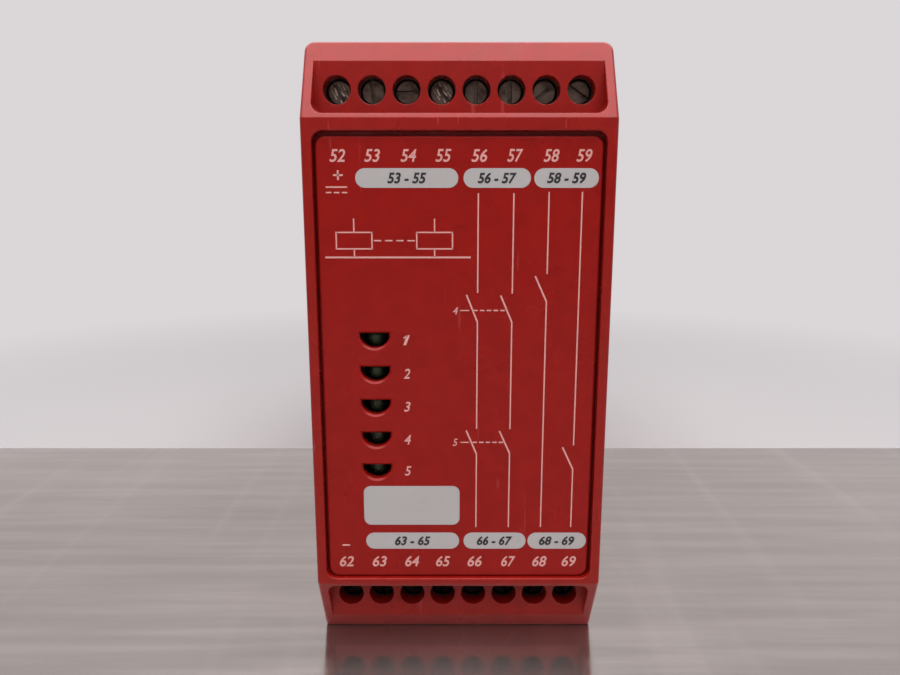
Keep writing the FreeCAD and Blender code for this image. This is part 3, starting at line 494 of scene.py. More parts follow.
@dataclass(frozen=True)
class PlatedSteel(Finish):
    """Plated steel: turned or rolled lines, dull patches where the plating has aged, grime."""

    colour: Colour = (0.4, 0.38, 0.34)
    aged: Colour = (0.2, 0.15, 0.1)
    age: float = 0.5
    roughness: float = 0.4
    lines: Point = (400, 6000, 6000)
    edge_mm: float = 0.06
    relief_mm: float = 0.01

    def wire(self, w: Wiring) -> Inputs:
        """Wires plating, age and lines.

        Args:
            w: The material's node tree.

        Returns:
            What the shader's inputs take.
        """
        place = w.place()
        rounded = w.rounded(self.edge_mm * MM)
        edges = w.effect(EFFECTS.rubbed_edges(), Rounded=rounded, Place=place)
        marks = w.effect(EFFECTS.handling(), Place=w.mapped(place, (3, 3, 3)), Amount=1.0)
        lines = w.noise(w.mapped(place, self.lines), 1.0, 2.0)
        patches = w.ranged(w.noise(place, 700.0, 4.0, 0.7), 0.6 - 0.3 * self.age, 0.72)
        bright = toned(self.colour, 1.35)
        metal = w.layered(
            w.mixed(w.ranged(lines, 0.3, 0.7), self.colour, bright),
            (patches, self.age, self.aged),
            (edges["Mask"], 0.5, bright),
            (marks["Scratches"], 0.5, bright),
        )
        rough = w.ranged(patches, 0.0, 1.0, self.roughness, self.roughness + 0.25)
        relief = w.sum("MULTIPLY_ADD", patches, -0.6, lines)
        return {
            "Base Color": metal,
            "Metallic": w.ranged(patches, 0.0, 1.0, 0.95, 0.55),
            "Roughness": w.sum("MULTIPLY_ADD", lines, 0.08, rough),
            "Normal": w.bump(relief, self.relief_mm * MM, 0.6, rounded),
        }


@dataclass(frozen=True)
class SolderMask(Finish):
    """Green board: solder mask over copper tracks, pads at their ends, glass weave below."""

    colour: Colour = (0.02, 0.13, 0.05)
    copper: Colour = (0.05, 0.24, 0.09)
    across: str = "Y"
    cell_mm: Span = (9, 7)
    pitch_mm: float = 1.27
    relief_mm: float = 0.03
    roughness: float = 0.3

    def wire(self, w: Wiring) -> Inputs:
        """Wires tracks, weave and mask.

        Args:
            w: The material's node tree.

        Returns:
            What the shader's inputs take.
        """
        place = w.place()
        across = w.axis(place, self.across)
        up = w.axis(place, "Z")
        cells = [
            w.sum("FLOOR", w.sum("DIVIDE", along, size_mm * MM))
            for along, size_mm in zip((across, up), self.cell_mm)
        ]
        cell = w.fed("CombineXYZ", 0, dict(enumerate(cells)))
        pick = w.fed("TexWhiteNoise", "Value", {"Vector": cell}, noise_dimensions="2D")
        upright = w.sum("GREATER_THAN", pick, 0.5)
        level = w.sum("SUBTRACT", 1.0, upright)
        run = w.sum("ADD", w.sum("MULTIPLY", across, upright), w.sum("MULTIPLY", up, level))
        stripe = w.sum("PINGPONG", w.sum("DIVIDE", run, self.pitch_mm * MM), 0.5)
        track = w.ranged(stripe, 0.17, 0.21, 1.0, 0.0)
        weave = w.noise(place, 1500.0, 1.0)
        body = w.mixed(track, self.colour, self.copper)
        body = w.mixed(w.ranged(weave, 0.4, 0.7, 0.0, 0.15), body, (0.1, 0.2, 0.1))
        relief = w.sum("MULTIPLY_ADD", weave, 0.15, track)
        return {
            "Base Color": body,
            "Roughness": w.ranged(weave, 0.3, 0.7, self.roughness, self.roughness + 0.12),
            "Normal": w.bump(relief, self.relief_mm * MM, 0.7),
        }


@dataclass(frozen=True)
class LampBody(Finish):
    """Unlit lamp: tinted clear body that lets a little light through."""

    colour: Colour = (0.01, 0.07, 0.02)
    roughness: float = 0.18
    coat: float = 0.4
    relief_mm: float = 0.01

    def wire(self, w: Wiring) -> Inputs:
        """Wires tint and gloss.

        Args:
            w: The material's node tree.

        Returns:
            What the shader's inputs take.
        """
        place = w.place()
        cloud = w.noise(place, 800.0, 3.0)
        deep = toned(self.colour, 0.35)
        return {
            "Base Color": w.mixed(w.ranged(cloud, 0.3, 0.7), self.colour, deep),
            "Roughness": w.ranged(cloud, 0.3, 0.7, self.roughness, self.roughness + 0.12),
            "Normal": w.bump(cloud, self.relief_mm * MM, 0.4),
            "Coat Weight": self.coat,
        }


@dataclass(frozen=True)
class Sleeve(Finish):
    """Shrunk or dipped coat with a paler stripe along one side."""

    colour: Colour = (0.03, 0.04, 0.1)
    stripe: Colour = (0.5, 0.5, 0.52)
    stripe_mm: float = 1.2
    centre_z: float = 0.0
    roughness: float = 0.3
    relief_mm: float = 0.02

    def wire(self, w: Wiring) -> Inputs:
        """Wires coat and stripe.

        Args:
            w: The material's node tree.

        Returns:
            What the shader's inputs take.
        """
        place = w.place()
        off = w.sum("ABSOLUTE", w.sum("SUBTRACT", w.axis(place, "Z"), self.centre_z))
        band = w.ranged(off, self.stripe_mm * 0.5 * MM, self.stripe_mm * 0.56 * MM, 1.0, 0.0)
        wrinkles = w.noise(w.mapped(place, (300, 1500, 1500)), 1.0, 3.0)
        return {
            "Base Color": w.mixed(band, self.colour, self.stripe),
            "Roughness": w.ranged(wrinkles, 0.3, 0.7, self.roughness, self.roughness + 0.15),
            "Normal": w.bump(wrinkles, self.relief_mm * MM, 0.5),
        }


@dataclass(frozen=True)
class TableTop(Finish):
    """Pale floor: brushed metal in front of a straight line and matt board behind it. Both
    hold the relay's shadow and fade into the backdrop far away."""

    metal: Colour = (0.5, 0.455, 0.43)
    board: Colour = (0.53, 0.505, 0.512)
    edge_y: float = 0.034
    edge_blur: float = 0.0006
    fade: Span = (0.15, 0.34)
    grazing: Span = (0.26, 0.44)
    shine: float = 0.93
    polish: Span = (0.11, 0.19)
    board_roughness: float = 0.9
    relief_mm: float = 0.015

    def wire(self, w: Wiring) -> Inputs:
        """Wires the brushed metal, the matt board and the fade.

        Args:
            w: The material's node tree.

        Returns:
            What the shader's inputs take.
        """
        place = w.place()
        brushed = w.noise(w.mapped(place, (14, 240, 240)), 1.0, 4.0, 0.6)
        streaks = w.noise(w.mapped(place, (90, 6, 6)), 1.0, 3.0, 0.55)
        clouds = w.noise(place, 14.0, 2.0)
        metal = w.mixed(w.ranged(brushed, 0.3, 0.7), toned(self.metal, 0.86), self.metal)
        milky = w.ranged(clouds, 0.35, 0.7, 0.0, 0.3)
        scuffed = w.ranged(streaks, 0.5, 0.75, 0.0, 0.25)
        metal = w.mixed(milky, metal, toned(self.metal, 1.2))
        metal = w.mixed(scuffed, metal, toned(self.metal, 1.35))
        away = w.fed("VectorMath", "Value", {0: place}, operation="LENGTH")
        far = w.ranged(away, *self.fade)
        edge = (self.edge_y - self.edge_blur, self.edge_y + self.edge_blur)
        behind = w.ranged(w.axis(place, "Y"), *edge)
        facing = w.fed("LayerWeight", "Facing", {})
        sheen = w.ranged(facing, *self.grazing, 0.0, self.shine)
        rough = w.ranged(brushed, 0.3, 0.7, *self.polish)
        seen = w.sum("MULTIPLY", far, w.fed("LightPath", "Is Camera Ray", {}))
        pale = w.fed("Emission", 0, {"Color": BACKDROP})
        mix = w.fed("MixShader", 0, {0: seen, 1: w.shader().outputs[0], 2: pale})
        w.feed(w.tree.nodes["Material Output"].inputs["Surface"], mix)
        return {
            "Base Color": w.mixed(behind, metal, self.board),
            "Metallic": w.sum("MULTIPLY", sheen, w.sum("SUBTRACT", 1.0, behind)),
            "Specular IOR Level": 0.0,
            "Roughness": w.sum("MAXIMUM", rough, w.sum("MULTIPLY", behind, self.board_roughness)),
            "Normal": w.bump(brushed, self.relief_mm * MM, 0.2),
        }


class Kit(Enum):
    """Finishes of the relay, by use."""

    RED = MouldedPlastic(
        "red_moulding", (0.285, 0.0075, 0.0045), roughness=0.3, edge_mm=0.16, dust=0.2, ior=1.4
    )
    LABEL = MouldedPlastic(
        "label_moulding",
        colour=(0.285, 0.0065, 0.0045),
        roughness=0.3,
        grain_mm=0.006,
        wear=0.6,
        edge_mm=0.08,
        dust=0.2,
        ior=1.33,
    )
    BLACK = MouldedPlastic(
        "black_moulding", colour=(0.018, 0.017, 0.017), shade=0.3, roughness=0.5, dust=0.8
    )
    HEADER = MouldedPlastic(
        "header_moulding", colour=(0.01, 0.01, 0.011), roughness=0.45, grain_mm=0.006, wear=0.3
    )
    RELAY_CASE = MouldedPlastic(
        "relay_case_moulding", colour=(0.62, 0.58, 0.48), shade=0.06, roughness=0.35, wear=0.5
    )
    CHIP = MouldedPlastic(
        "chip_body", colour=(0.012, 0.012, 0.013), roughness=0.55, grain_mm=0.01, wear=0.2
    )
    PALE_INK = Ink("pale_ink", colour=(0.68, 0.34, 0.32), under=(0.33, 0.03, 0.03))
    WHITE_INK = Ink(
        "white_ink", colour=(0.43, 0.415, 0.42), under=(0.36, 0.2, 0.2), thin=0.12, roughness=0.4
    )
    DARK_INK = Ink("dark_ink", colour=(0.012, 0.011, 0.016), under=(0.1, 0.09, 0.1), thin=0.3)
    SCREW = PlatedSteel(
        "screw_plating", (0.165, 0.132, 0.108), (0.035, 0.022, 0.016), 0.6, roughness=0.42
    )
    # Darker copy of the screw plating for the bottom row: painted shade for screws that sit under
    # the pocket's lip.
    SHADED_SCREW = PlatedSteel(
        "greasy_screw_plating", (0.02, 0.014, 0.011), (0.008, 0.005, 0.004), 0.8, roughness=0.6
    )
    BURR = PlatedSteel("torn_steel", (0.68, 0.62, 0.56), (0.2, 0.17, 0.14), 0.3, roughness=0.35)
    CLAMP = PlatedSteel("clamp_plating", (0.45, 0.44, 0.4), (0.25, 0.2, 0.12), 0.3)
    BAR = PlatedSteel("tinned_bar", (0.62, 0.6, 0.56), (0.4, 0.37, 0.32), 0.25, roughness=0.34)
    SPRING = PlatedSteel("spring_wire", (0.42, 0.42, 0.43), (0.2, 0.18, 0.16), 0.2, roughness=0.3)
    BOARD = SolderMask("side_board")
    FRONT_BOARD = SolderMask("terminal_board_mask", across="X")
    LAMP = LampBody("lamp_body", colour=(0.03, 0.075, 0.035))
    CAPACITOR = Sleeve("capacitor_shrink_sleeve", centre_z=0.063)
    VARISTOR = Sleeve(
        "varistor_coat", colour=(0.03, 0.12, 0.35), stripe=(0.03, 0.1, 0.3), stripe_mm=0.6
    )
    TABLE = TableTop("table_top")


# ---- Modelling by hand ------------------------------------------------------------
@dataclass(frozen=True)
class Style:
    """Height and width of lettering in millimetres, how much its strokes are thickened,
    and how far it leans for each unit of height."""

    height: float
    width: float
    weight: float
    slant: float = 0.22


class Bench:
    """Modelling steps on the active object, each on a clean selection."""

    @staticmethod
    def clear() -> None:
        """Leaves edit mode and deselects everything."""
        if bpy.context.object is not None and bpy.context.object.mode != "OBJECT":
            bpy.ops.object.mode_set(mode="OBJECT")
        bpy.ops.object.select_all(action="DESELECT")

    @staticmethod
    @contextmanager
    def editing() -> Iterator[None]:
        """Edit mode on the active piece, with its whole mesh selected at the start."""
        bpy.ops.object.mode_set(mode="EDIT")
        bpy.ops.mesh.select_all(action="SELECT")
        yield
        bpy.ops.object.mode_set(mode="OBJECT")

    @classmethod
    def only(cls, *pieces: Piece) -> Piece:
        """Selects pieces alone and makes the first active.

        Args:
            *pieces: The pieces to select.

        Returns:
            The active piece.
        """
        cls.clear()
        for piece in pieces:
            piece.select_set(True)
        bpy.context.view_layer.objects.active = pieces[0]
        return pieces[0]

    @classmethod
    def settle(cls, piece: Piece) -> Piece:
        """Applies a piece's place, turn and scale to its mesh, and mends its normals.

        Args:
            piece: The piece.

        Returns:
            The same piece.
        """
        cls.only(piece)
        bpy.ops.object.transform_apply(location=True, rotation=True, scale=True)
        with cls.editing():
            bpy.ops.mesh.remove_doubles(threshold=WELD)
            bpy.ops.mesh.normals_make_consistent(inside=False)
        return piece

    @classmethod
    def curled(cls, piece: Piece, shift: Vector) -> Piece:
        """Moves a piece's upper end sideways, so that it curls away from its foot.

        Args:
            piece: The piece, at the origin.
            shift: How far its upper end moves.

        Returns:
            The same piece.
        """
        cls.only(piece)
        for part in (*piece.data.edges, *piece.data.polygons):
            part.select = False
        for vertex in piece.data.vertices:
            vertex.select = vertex.co.z > 0
        bpy.ops.object.mode_set(mode="EDIT")
        bpy.ops.transform.translate(value=shift)
        bpy.ops.object.mode_set(mode="OBJECT")
        return piece

    @classmethod
    def joined(cls, name: str, pieces: list[Piece]) -> Piece:
        """Joins pieces into one with a name.

        Args:
            name: The joined piece's name.
            pieces: The pieces to join.

        Returns:
            The joined piece.
        """
        first = cls.only(*pieces)
        if len(pieces) > 1:
            bpy.ops.object.join()
        first.name = name
        first.data.name = name
        return first

    @classmethod
    def card(
        cls, centre: Vector, width: float, height: float, corner: float, thickness: float
    ) -> Piece:
        """Thin card that faces the front, with round corners.

        Args:
            centre: Middle of the card's back.
            width: Size along X.
            height: Size along Z.
            corner: Radius of its corners, or 0 for square ones.
            thickness: How far it stands out to the front.

        Returns:
            The card.
        """
        cls.clear()
        bpy.ops.mesh.primitive_plane_add(size=1, location=centre, rotation=(math.pi / 2, 0, 0))
        piece = bpy.context.object
        piece.scale = (width, height, 1)
        bpy.ops.object.transform_apply(location=False, rotation=True, scale=True)
        with cls.editing():
            if corner > 0:
                bpy.ops.mesh.bevel(offset=corner, segments=7, affect="VERTICES")
                bpy.ops.mesh.select_all(action="SELECT")
            bpy.ops.mesh.extrude_region_move(TRANSFORM_OT_translate={"value": (0, -thickness, 0)})
        return cls.settle(piece)

    @classmethod
    def stroke(cls, start: Vector, end: Vector, width: float, thickness: float) -> Piece:
        """Printed line between two points of the label's face.

        Args:
            start: One end, on the face.
            end: Other end, on the face.
            width: The line's width.
            thickness: How far it stands out to the front.

        Returns:
            The line.
        """
        along = end - start
        piece = cls.card(Vector((0, 0, 0)), width, along.length, 0.0, thickness)
        piece.rotation_euler = (0, math.atan2(along.x, along.z), 0)
        piece.location = (start + end) / 2
        return cls.settle(piece)

    @classmethod
    def lettering(cls, text: str, centre: Vector, style: Style, thickness: float) -> Piece:
        """Slanted numbers or signs that fill a given height and width.

        Args:
            text: What is set.
            centre: Middle of the lettering, on the face that it is printed on.
            style: Its height, width and weight.
            thickness: How far it stands out to the front.

        Returns:
            The lettering, as a mesh.
        """
        cls.clear()
        bpy.ops.object.text_add(location=(0, 0, 0), rotation=(0, 0, 0))
        piece = bpy.context.object
        piece.data.body = text
        piece.data.size = 1.0
        piece.data.shear = style.slant
        piece.data.offset = style.weight
        piece.data.resolution_u = 3
        piece.data.extrude = 0.5
        bpy.ops.object.convert(target="MESH")
        points = [vertex.co for vertex in piece.data.vertices]
        low = Vector(min(point[axis] for point in points) for axis in range(3))
        high = Vector(max(point[axis] for point in points) for axis in range(3))
        middle = (low + high) / 2
        size = high - low
        scale = Vector((style.width * MM / size.x, style.height * MM / size.y, thickness / size.z))
        for vertex in piece.data.vertices:
            off = vertex.co - middle
            vertex.co = Vector((off.x * scale.x, off.y * scale.y, off.z * scale.z + thickness / 2))
        piece.rotation_euler = (math.pi / 2, 0, 0)
        piece.location = centre
        return cls.settle(piece)

    @classmethod
    def body(cls, centre: Vector, size: Vector, edge: float) -> Piece:
        """Small moulded body with chamfered edges.

        Args:
            centre: Its middle.
            size: Its size along each axis.
            edge: Width of its chamfers.

        Returns:
            The body.
        """
        cls.clear()
        bpy.ops.mesh.primitive_cube_add(size=1, location=centre)
        piece = bpy.context.object
        piece.scale = size
        bpy.ops.object.transform_apply(location=False, rotation=False, scale=True)
        with cls.editing():
            bpy.ops.mesh.bevel(offset=edge, segments=1, affect="EDGES")
        return cls.settle(piece)


def seat(piece: Piece, finish: Kit, body: str) -> Piece:
    """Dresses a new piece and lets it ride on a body.

    Args:
        piece: The new piece.
        finish: Its finish.
        body: The body that it moves with.

    Returns:
        The piece.
    """
    finish.value.dress(piece)
    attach(piece, body)
    LOG.info("%s rides on %s: %d faces", piece.name, body, len(piece.data.polygons))
    return piece


# ---- Housing ----------------------------------------------------------------------
@dataclass
class Housing:
    """Cover, rear shell, latch and the latch's spring."""

    nodes: Nodes
    spring_foot: float = 0.008
    spring_space: float = 0.016
    latch_travel: float = 0.005

    def spring(self) -> None:
        """Copies the latch's coiled spring, welds the copy and hides the frame's own spring."""
        coil = bpy.data.objects.new("latch_spring_coil", self.nodes["latch_spring"].data.copy())
        bpy.context.scene.collection.objects.link(coil)
        Bench.only(coil)
        with Bench.editing():
            bpy.ops.mesh.remove_doubles(threshold=0.001 * MM)
        seat(coil, Kit.SPRING, "housing")
        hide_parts("latch_spring")
        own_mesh(coil)

    def build(self) -> None:
        """Dresses the mouldings and the spring."""
        for name in ("front_cover", "rear_housing", "rail_latch"):
            Kit.RED.value.dress(self.nodes[name])
        Kit.SPRING.value.dress(self.nodes["latch_spring"])
        self.spring()


# ---- Label plate ------------------------------------------------------------------
@dataclass(frozen=True)
class NumberRow:
    """A row of terminal numbers, and the fields that group them."""

    name: str
    first: int
    z: float
    places: tuple[float, ...]
    fields_z: float
    fields: tuple[Span, ...]


@dataclass(frozen=True)
class Chain:
    """Contacts in one line: its X, its runs from the top down, and its arms' upper ends."""

    x: float
    runs: tuple[Span, ...]
    arms: tuple[float, ...]


@dataclass
class LabelPlate:
    """The label plate and all that is printed on it. Places are in millimetres, with X
    from the plate's middle and Z from its lower edge."""

    nodes: Nodes
    ink: float = 0.03 * MM
    thin_line: float = 0.16
    line_width: float = 0.2
    arm_width: float = 0.24
    bold_line: float = 0.26
    rows: tuple[NumberRow, ...] = (
        NumberRow(
            name="upper",
            first=52,
            z=65.31,
            places=(-17.38, -12.41, -7.24, -2.26, 2.86, 7.98, 13.15, 17.83),
            fields_z=62.18,
            fields=((-14.9, -0.14), (0.62, 10.27), (10.76, 20.01)),
        ),
        NumberRow(
            name="lower",
            first=62,
            z=2.55,
            places=(-17.78, -12.51, -7.34, -2.41, 2.61, 7.98, 12.95, 17.63),
            fields_z=6.09,
            fields=((-14.6, 0.12), (0.82, 10.66), (10.96, 20.21)),
        ),
    )
    number_style: Style = Style(1.8, 2.25, 0.015)
    groups: tuple[tuple[int, int], ...] = ((1, 3), (4, 5), (6, 7))
    group_style: Style = Style(1.55, 5.6, 0.03)
    field_height: float = 2.75
    field_corner: float = 0.49
    writing_x: Span = (-14.8, 0.17)
    writing_z: Span = (8.82, 15.29)
    writing_corner: float = 1.1
    chains: tuple[Chain, ...] = (
        Chain(2.76, ((60.04, 45.62), (41.24, 24.64), (20.56, 8.42)), (1.12, 1.17)),
        Chain(7.88, ((60.04, 45.52), (41.24, 24.59), (20.66, 8.42)), (6.19, 6.26)),
        Chain(12.95, ((60.24, 48.41), (44.33, 8.42)), (11.22,)),
        Chain(17.73, ((60.24, 21.95), (18.07, 8.42)), (16.04,)),
    )
    arm_drop: float = 0.3
    links: tuple[Span, ...] = ((1.22, 42.99), (1.27, 22.45))
    circuits: tuple[tuple[str, float], ...] = (("4", 42.94), ("5", 22.45))
    circuit_x: float = -0.52
    circuit_style: Style = Style(1.15, 0.75, 0.005)
    lamp_rows: tuple[float, ...] = (38.5, 33.33, 28.15, 22.88, 17.79)
    lamp_number_x: float = -7.83
    lamp_style: Style = Style(1.55, 1.0, 0.012)
    coils_x: Span = (-15.29, -3.56)
    coil_half: float = 2.6
    coil_z: Span = (52.09, 54.47)
    coil_side_z: Span = (51.99, 54.57)
    coil_lead_z: float = 56.46
    rule_x: Span = (-19.57, 1.71)
    rule_z: float = 50.85
    low: Vector = field(init=False)

    def __post_init__(self) -> None:
        """Reads the plate's place from the frame."""
        low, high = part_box("label_plate")
        self.low = Vector(((low.x + high.x) / 2, low.y, low.z))

    def spot(self, x_mm: float, z_mm: float) -> Vector:
        """Point on the plate's face."""
        return Vector((self.low.x + x_mm * MM, self.low.y, self.low.z + z_mm * MM))

    def line(self, start: Span, end: Span, width_mm: float = 0.0) -> Piece:
        """Printed line between two places."""
        width = (width_mm or self.line_width) * MM
        return Bench.stroke(self.spot(*start), self.spot(*end), width, self.ink)

    def dashes(self, start_x: float, end_x: float, z: float, count: int) -> list[Piece]:
        """Row of dashes between two X, with gaps of half a dash.

        Args:
            start_x: X of the first dash's start.
            end_x: X of the last dash's end.
            z: Height of the row.
            count: Number of dashes.

        Returns:
            The dashes.
        """
        dash = (end_x - start_x) / (1.5 * count - 0.5)
        starts = [start_x + 1.5 * dash * step for step in range(count)]
        return [self.line((x, z), (x + dash, z)) for x in starts]

    def printed(self, name: str, parts: list[Piece], ink: Kit = Kit.PALE_INK) -> None:
        """Joins printed parts into one piece on the plate."""
        seat(Bench.joined(name, parts), ink, "housing")

    def numbers(self) -> None:
        """Prints the terminals' numbers, plain and slanted."""
        for row in self.rows:
            marks = [
                Bench.lettering(str(number), self.spot(x, row.z), self.number_style, self.ink)
                for number, x in enumerate(row.places, row.first)
            ]
            self.printed(f"{row.name}_numbers", marks)

    def group_fields(self) -> None:
        """Prints the white fields that group the terminals, and the numbers in them."""
        height = self.field_height * MM
        for row in self.rows:
            cards, marks = [], []
            for (start, end), (first, last) in zip(row.fields, self.groups):
                centre = self.spot((start + end) / 2, row.fields_z)
                corner = self.field_corner * height
                cards.append(Bench.card(centre, (end - start) * MM, height, corner, self.ink))
                raised = centre - Vector((0, self.ink, 0))
                text = f"{row.first + first} - {row.first + last}"
                marks.append(Bench.lettering(text, raised, self.group_style, self.ink))
            self.printed(f"{row.name}_fields", cards, Kit.WHITE_INK)
            self.printed(f"{row.name}_field_numbers", marks, Kit.DARK_INK)

    def writing_place(self) -> None:
        """Prints the blank white field for handwriting."""
        (left, right), (low, high) = self.writing_x, self.writing_z
        centre = self.spot((left + right) / 2, (low + high) / 2)
        size = ((right - left) * MM, (high - low) * MM)
        card = Bench.card(centre, *size, self.writing_corner * MM, self.ink)
        self.printed("writing_field", [card], Kit.WHITE_INK)

    def circuit(self) -> None:
        """Prints the four contact chains, their switching arms and the links between them."""
        parts = []
        for chain in self.chains:
            x, runs = chain.x, chain.runs
            parts += [self.line((x, high), (x, low)) for high, low in runs]
            for arm, (_, above), (below, _) in zip(chain.arms, runs, runs[1:]):
                parts.append(self.line((arm, above - self.arm_drop), (x, below), self.arm_width))
        for x, z in self.links:
            parts.append(self.line((x - 1.0, z), (x + 0.3, z), self.thin_line))
            parts += self.dashes(x + 0.9, x + 5.6, z, 5)
        self.printed("circuit_lines", parts)
        marks = [
            Bench.lettering(sign, self.spot(self.circuit_x, z), self.circuit_style, self.ink)
            for sign, z in self.circuits
        ]
        self.printed("circuit_numbers", marks)

    def supply_signs(self) -> None:
        """Prints the supply's signs: plus over a direct-current sign, and minus below."""
        parts = [
            self.line((-18.08, 62.58), (-16.69, 62.58), self.bold_line),
            self.line((-17.38, 61.88), (-17.38, 63.28), self.bold_line),
            self.line((-19.17, 60.91), (-16.09, 60.91), 0.22),
            self.line((-18.38, 5.34), (-17.18, 5.34), self.arm_width),
        ]
        parts += self.dashes(-19.17, -16.09, 60.14, 3)
        self.printed("supply_signs", parts)

    def lamp_numbers(self) -> None:
        """Prints the lamps' numbers beside their windows."""
        left, top = self.lamp_number_x, self.lamp_rows[0]
        marks = [
            Bench.lettering(str(number), self.spot(left, z), self.lamp_style, self.ink)
            for number, z in enumerate(self.lamp_rows, 1)
        ]
        marks.append(self.line((left - 0.42, top + 0.3), (left + 0.2, top + 0.72)))
        self.printed("lamp_numbers", marks)

    def coil_symbols(self) -> None:
        """Prints two plain relay coils on a rule, in the plate's upper left."""
        (low, high), (foot, head) = self.coil_z, self.coil_side_z
        start, end = self.rule_x
        parts = [self.line((start, self.rule_z), (end, self.rule_z), self.bold_line)]
        for x in self.coils_x:
            left, right = x - self.coil_half, x + self.coil_half
            parts += [self.line((left, z), (right, z)) for z in (low, high)]
            parts += [self.line((side, foot), (side, head)) for side in (left, right)]
            parts.append(self.line((x, high), (x, self.coil_lead_z)))
            parts.append(self.line((x, self.rule_z), (x, low)))
        parts += self.dashes(-12.41, -6.44, 53.28, 4)
        self.printed("coil_symbols", parts)

    def build(self) -> None:
        """Dresses the plate and prints it."""
        Kit.LABEL.value.dress(self.nodes["label_plate"])
        self.numbers()
        self.group_fields()
        self.writing_place()
        self.circuit()
        self.supply_signs()
        self.lamp_numbers()
        self.coil_symbols()


# ---- Terminals --------------------------------------------------------------------
class Row(Enum):
    """The two rows of terminals."""

    TOP = "top"
    BOTTOM = "bottom"


@dataclass
class TerminalRow:
    """One row: strip, current bars, clamps and screws, with torn slots on some screws.

    Slivers are in millimetres: place along the slot, side of it as a multiple of its half
    width, length, width and lean."""

    nodes: Nodes
    row: Row
    torn: dict[int, float] = field(default_factory=dict)
    screw_finish: Kit = Kit.SCREW
    poles: int = 8
    slot_half: float = 0.36
    sliver_foot: float = 0.15
    sliver_tip: float = 0.03
    sliver_width: float = 0.2
    lift: float = 0.02
    curl: float = 0.05
    slivers: tuple[tuple[float, ...], ...] = (
        (-1.15, 1.0, 0.7, 0.2, 0.5),
        (-0.8, -2.1, 0.9, 0.16, -0.2),
        (-0.35, -1.0, 0.85, 0.26, -0.4),
        (-0.1, 2.3, 1.1, 0.18, 0.25),
        (0.1, 1.2, 0.6, 0.24, 0.6),
        (0.45, -2.6, 1.0, 0.14, 0.15),
        (0.55, 1.0, 0.75, 0.22, 0.7),
        (0.75, 2.4, 0.6, 0.16, -0.3),
        (1.05, -1.1, 0.55, 0.2, -0.6),
    )

    def node(self, stem: str) -> Piece:
        """The row's node of a kind."""
        return self.nodes[f"{self.row.value}_{stem}"]

    def burrs(self, pole: int, slot_degrees: float) -> None:
        """Adds slivers torn up along a screw's slot.

        Args:
            pole: The screw's number, from 1.
            slot_degrees: Turn of its slot from X towards Z.
        """
        screw = f"{self.row.value}_screw_{pole}"
        low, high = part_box(screw)
        centre = (low + high) / 2
        slivers = []
        for along, side, length, width, lean in self.slivers:
            Bench.clear()
            bpy.ops.mesh.primitive_cone_add(
                vertices=7,
                radius1=self.sliver_foot * MM,
                radius2=self.sliver_tip * MM,
                depth=length * MM,
                location=(0, 0, 0),
            )
            sliver = bpy.context.object
            Bench.curled(sliver, Vector((self.curl * lean, 0.04, 0.0)) * MM)
            sliver.scale = (width / self.sliver_width, 0.5, 1)
            sliver.rotation_euler = (0.25 * lean, math.pi / 2 + 0.3 * lean, 0.2 * lean)
            sliver.location = (along * MM, low.y - self.lift * MM, self.slot_half * side * MM)
            slivers.append(Bench.settle(sliver))
        piece = Bench.joined(f"{screw}_burrs", slivers)
        piece.rotation_euler = (0, -math.radians(slot_degrees), 0)
        piece.location = (centre.x, 0, centre.z)
        Bench.settle(piece)
        seat(piece, Kit.BURR, f"{screw}_body")

    def build(self) -> None:
        """Dresses the row and adds its burrs."""
        Kit.BLACK.value.dress(self.node("terminal_strip"))
        Kit.BAR.value.dress(self.node("current_bars"))
        for pole in range(1, self.poles + 1):
            self.screw_finish.value.dress(self.node(f"screw_{pole}"))
            Kit.CLAMP.value.dress(self.node(f"clamp_{pole}"))
        for pole, degrees in self.torn.items():
            self.burrs(pole, degrees)


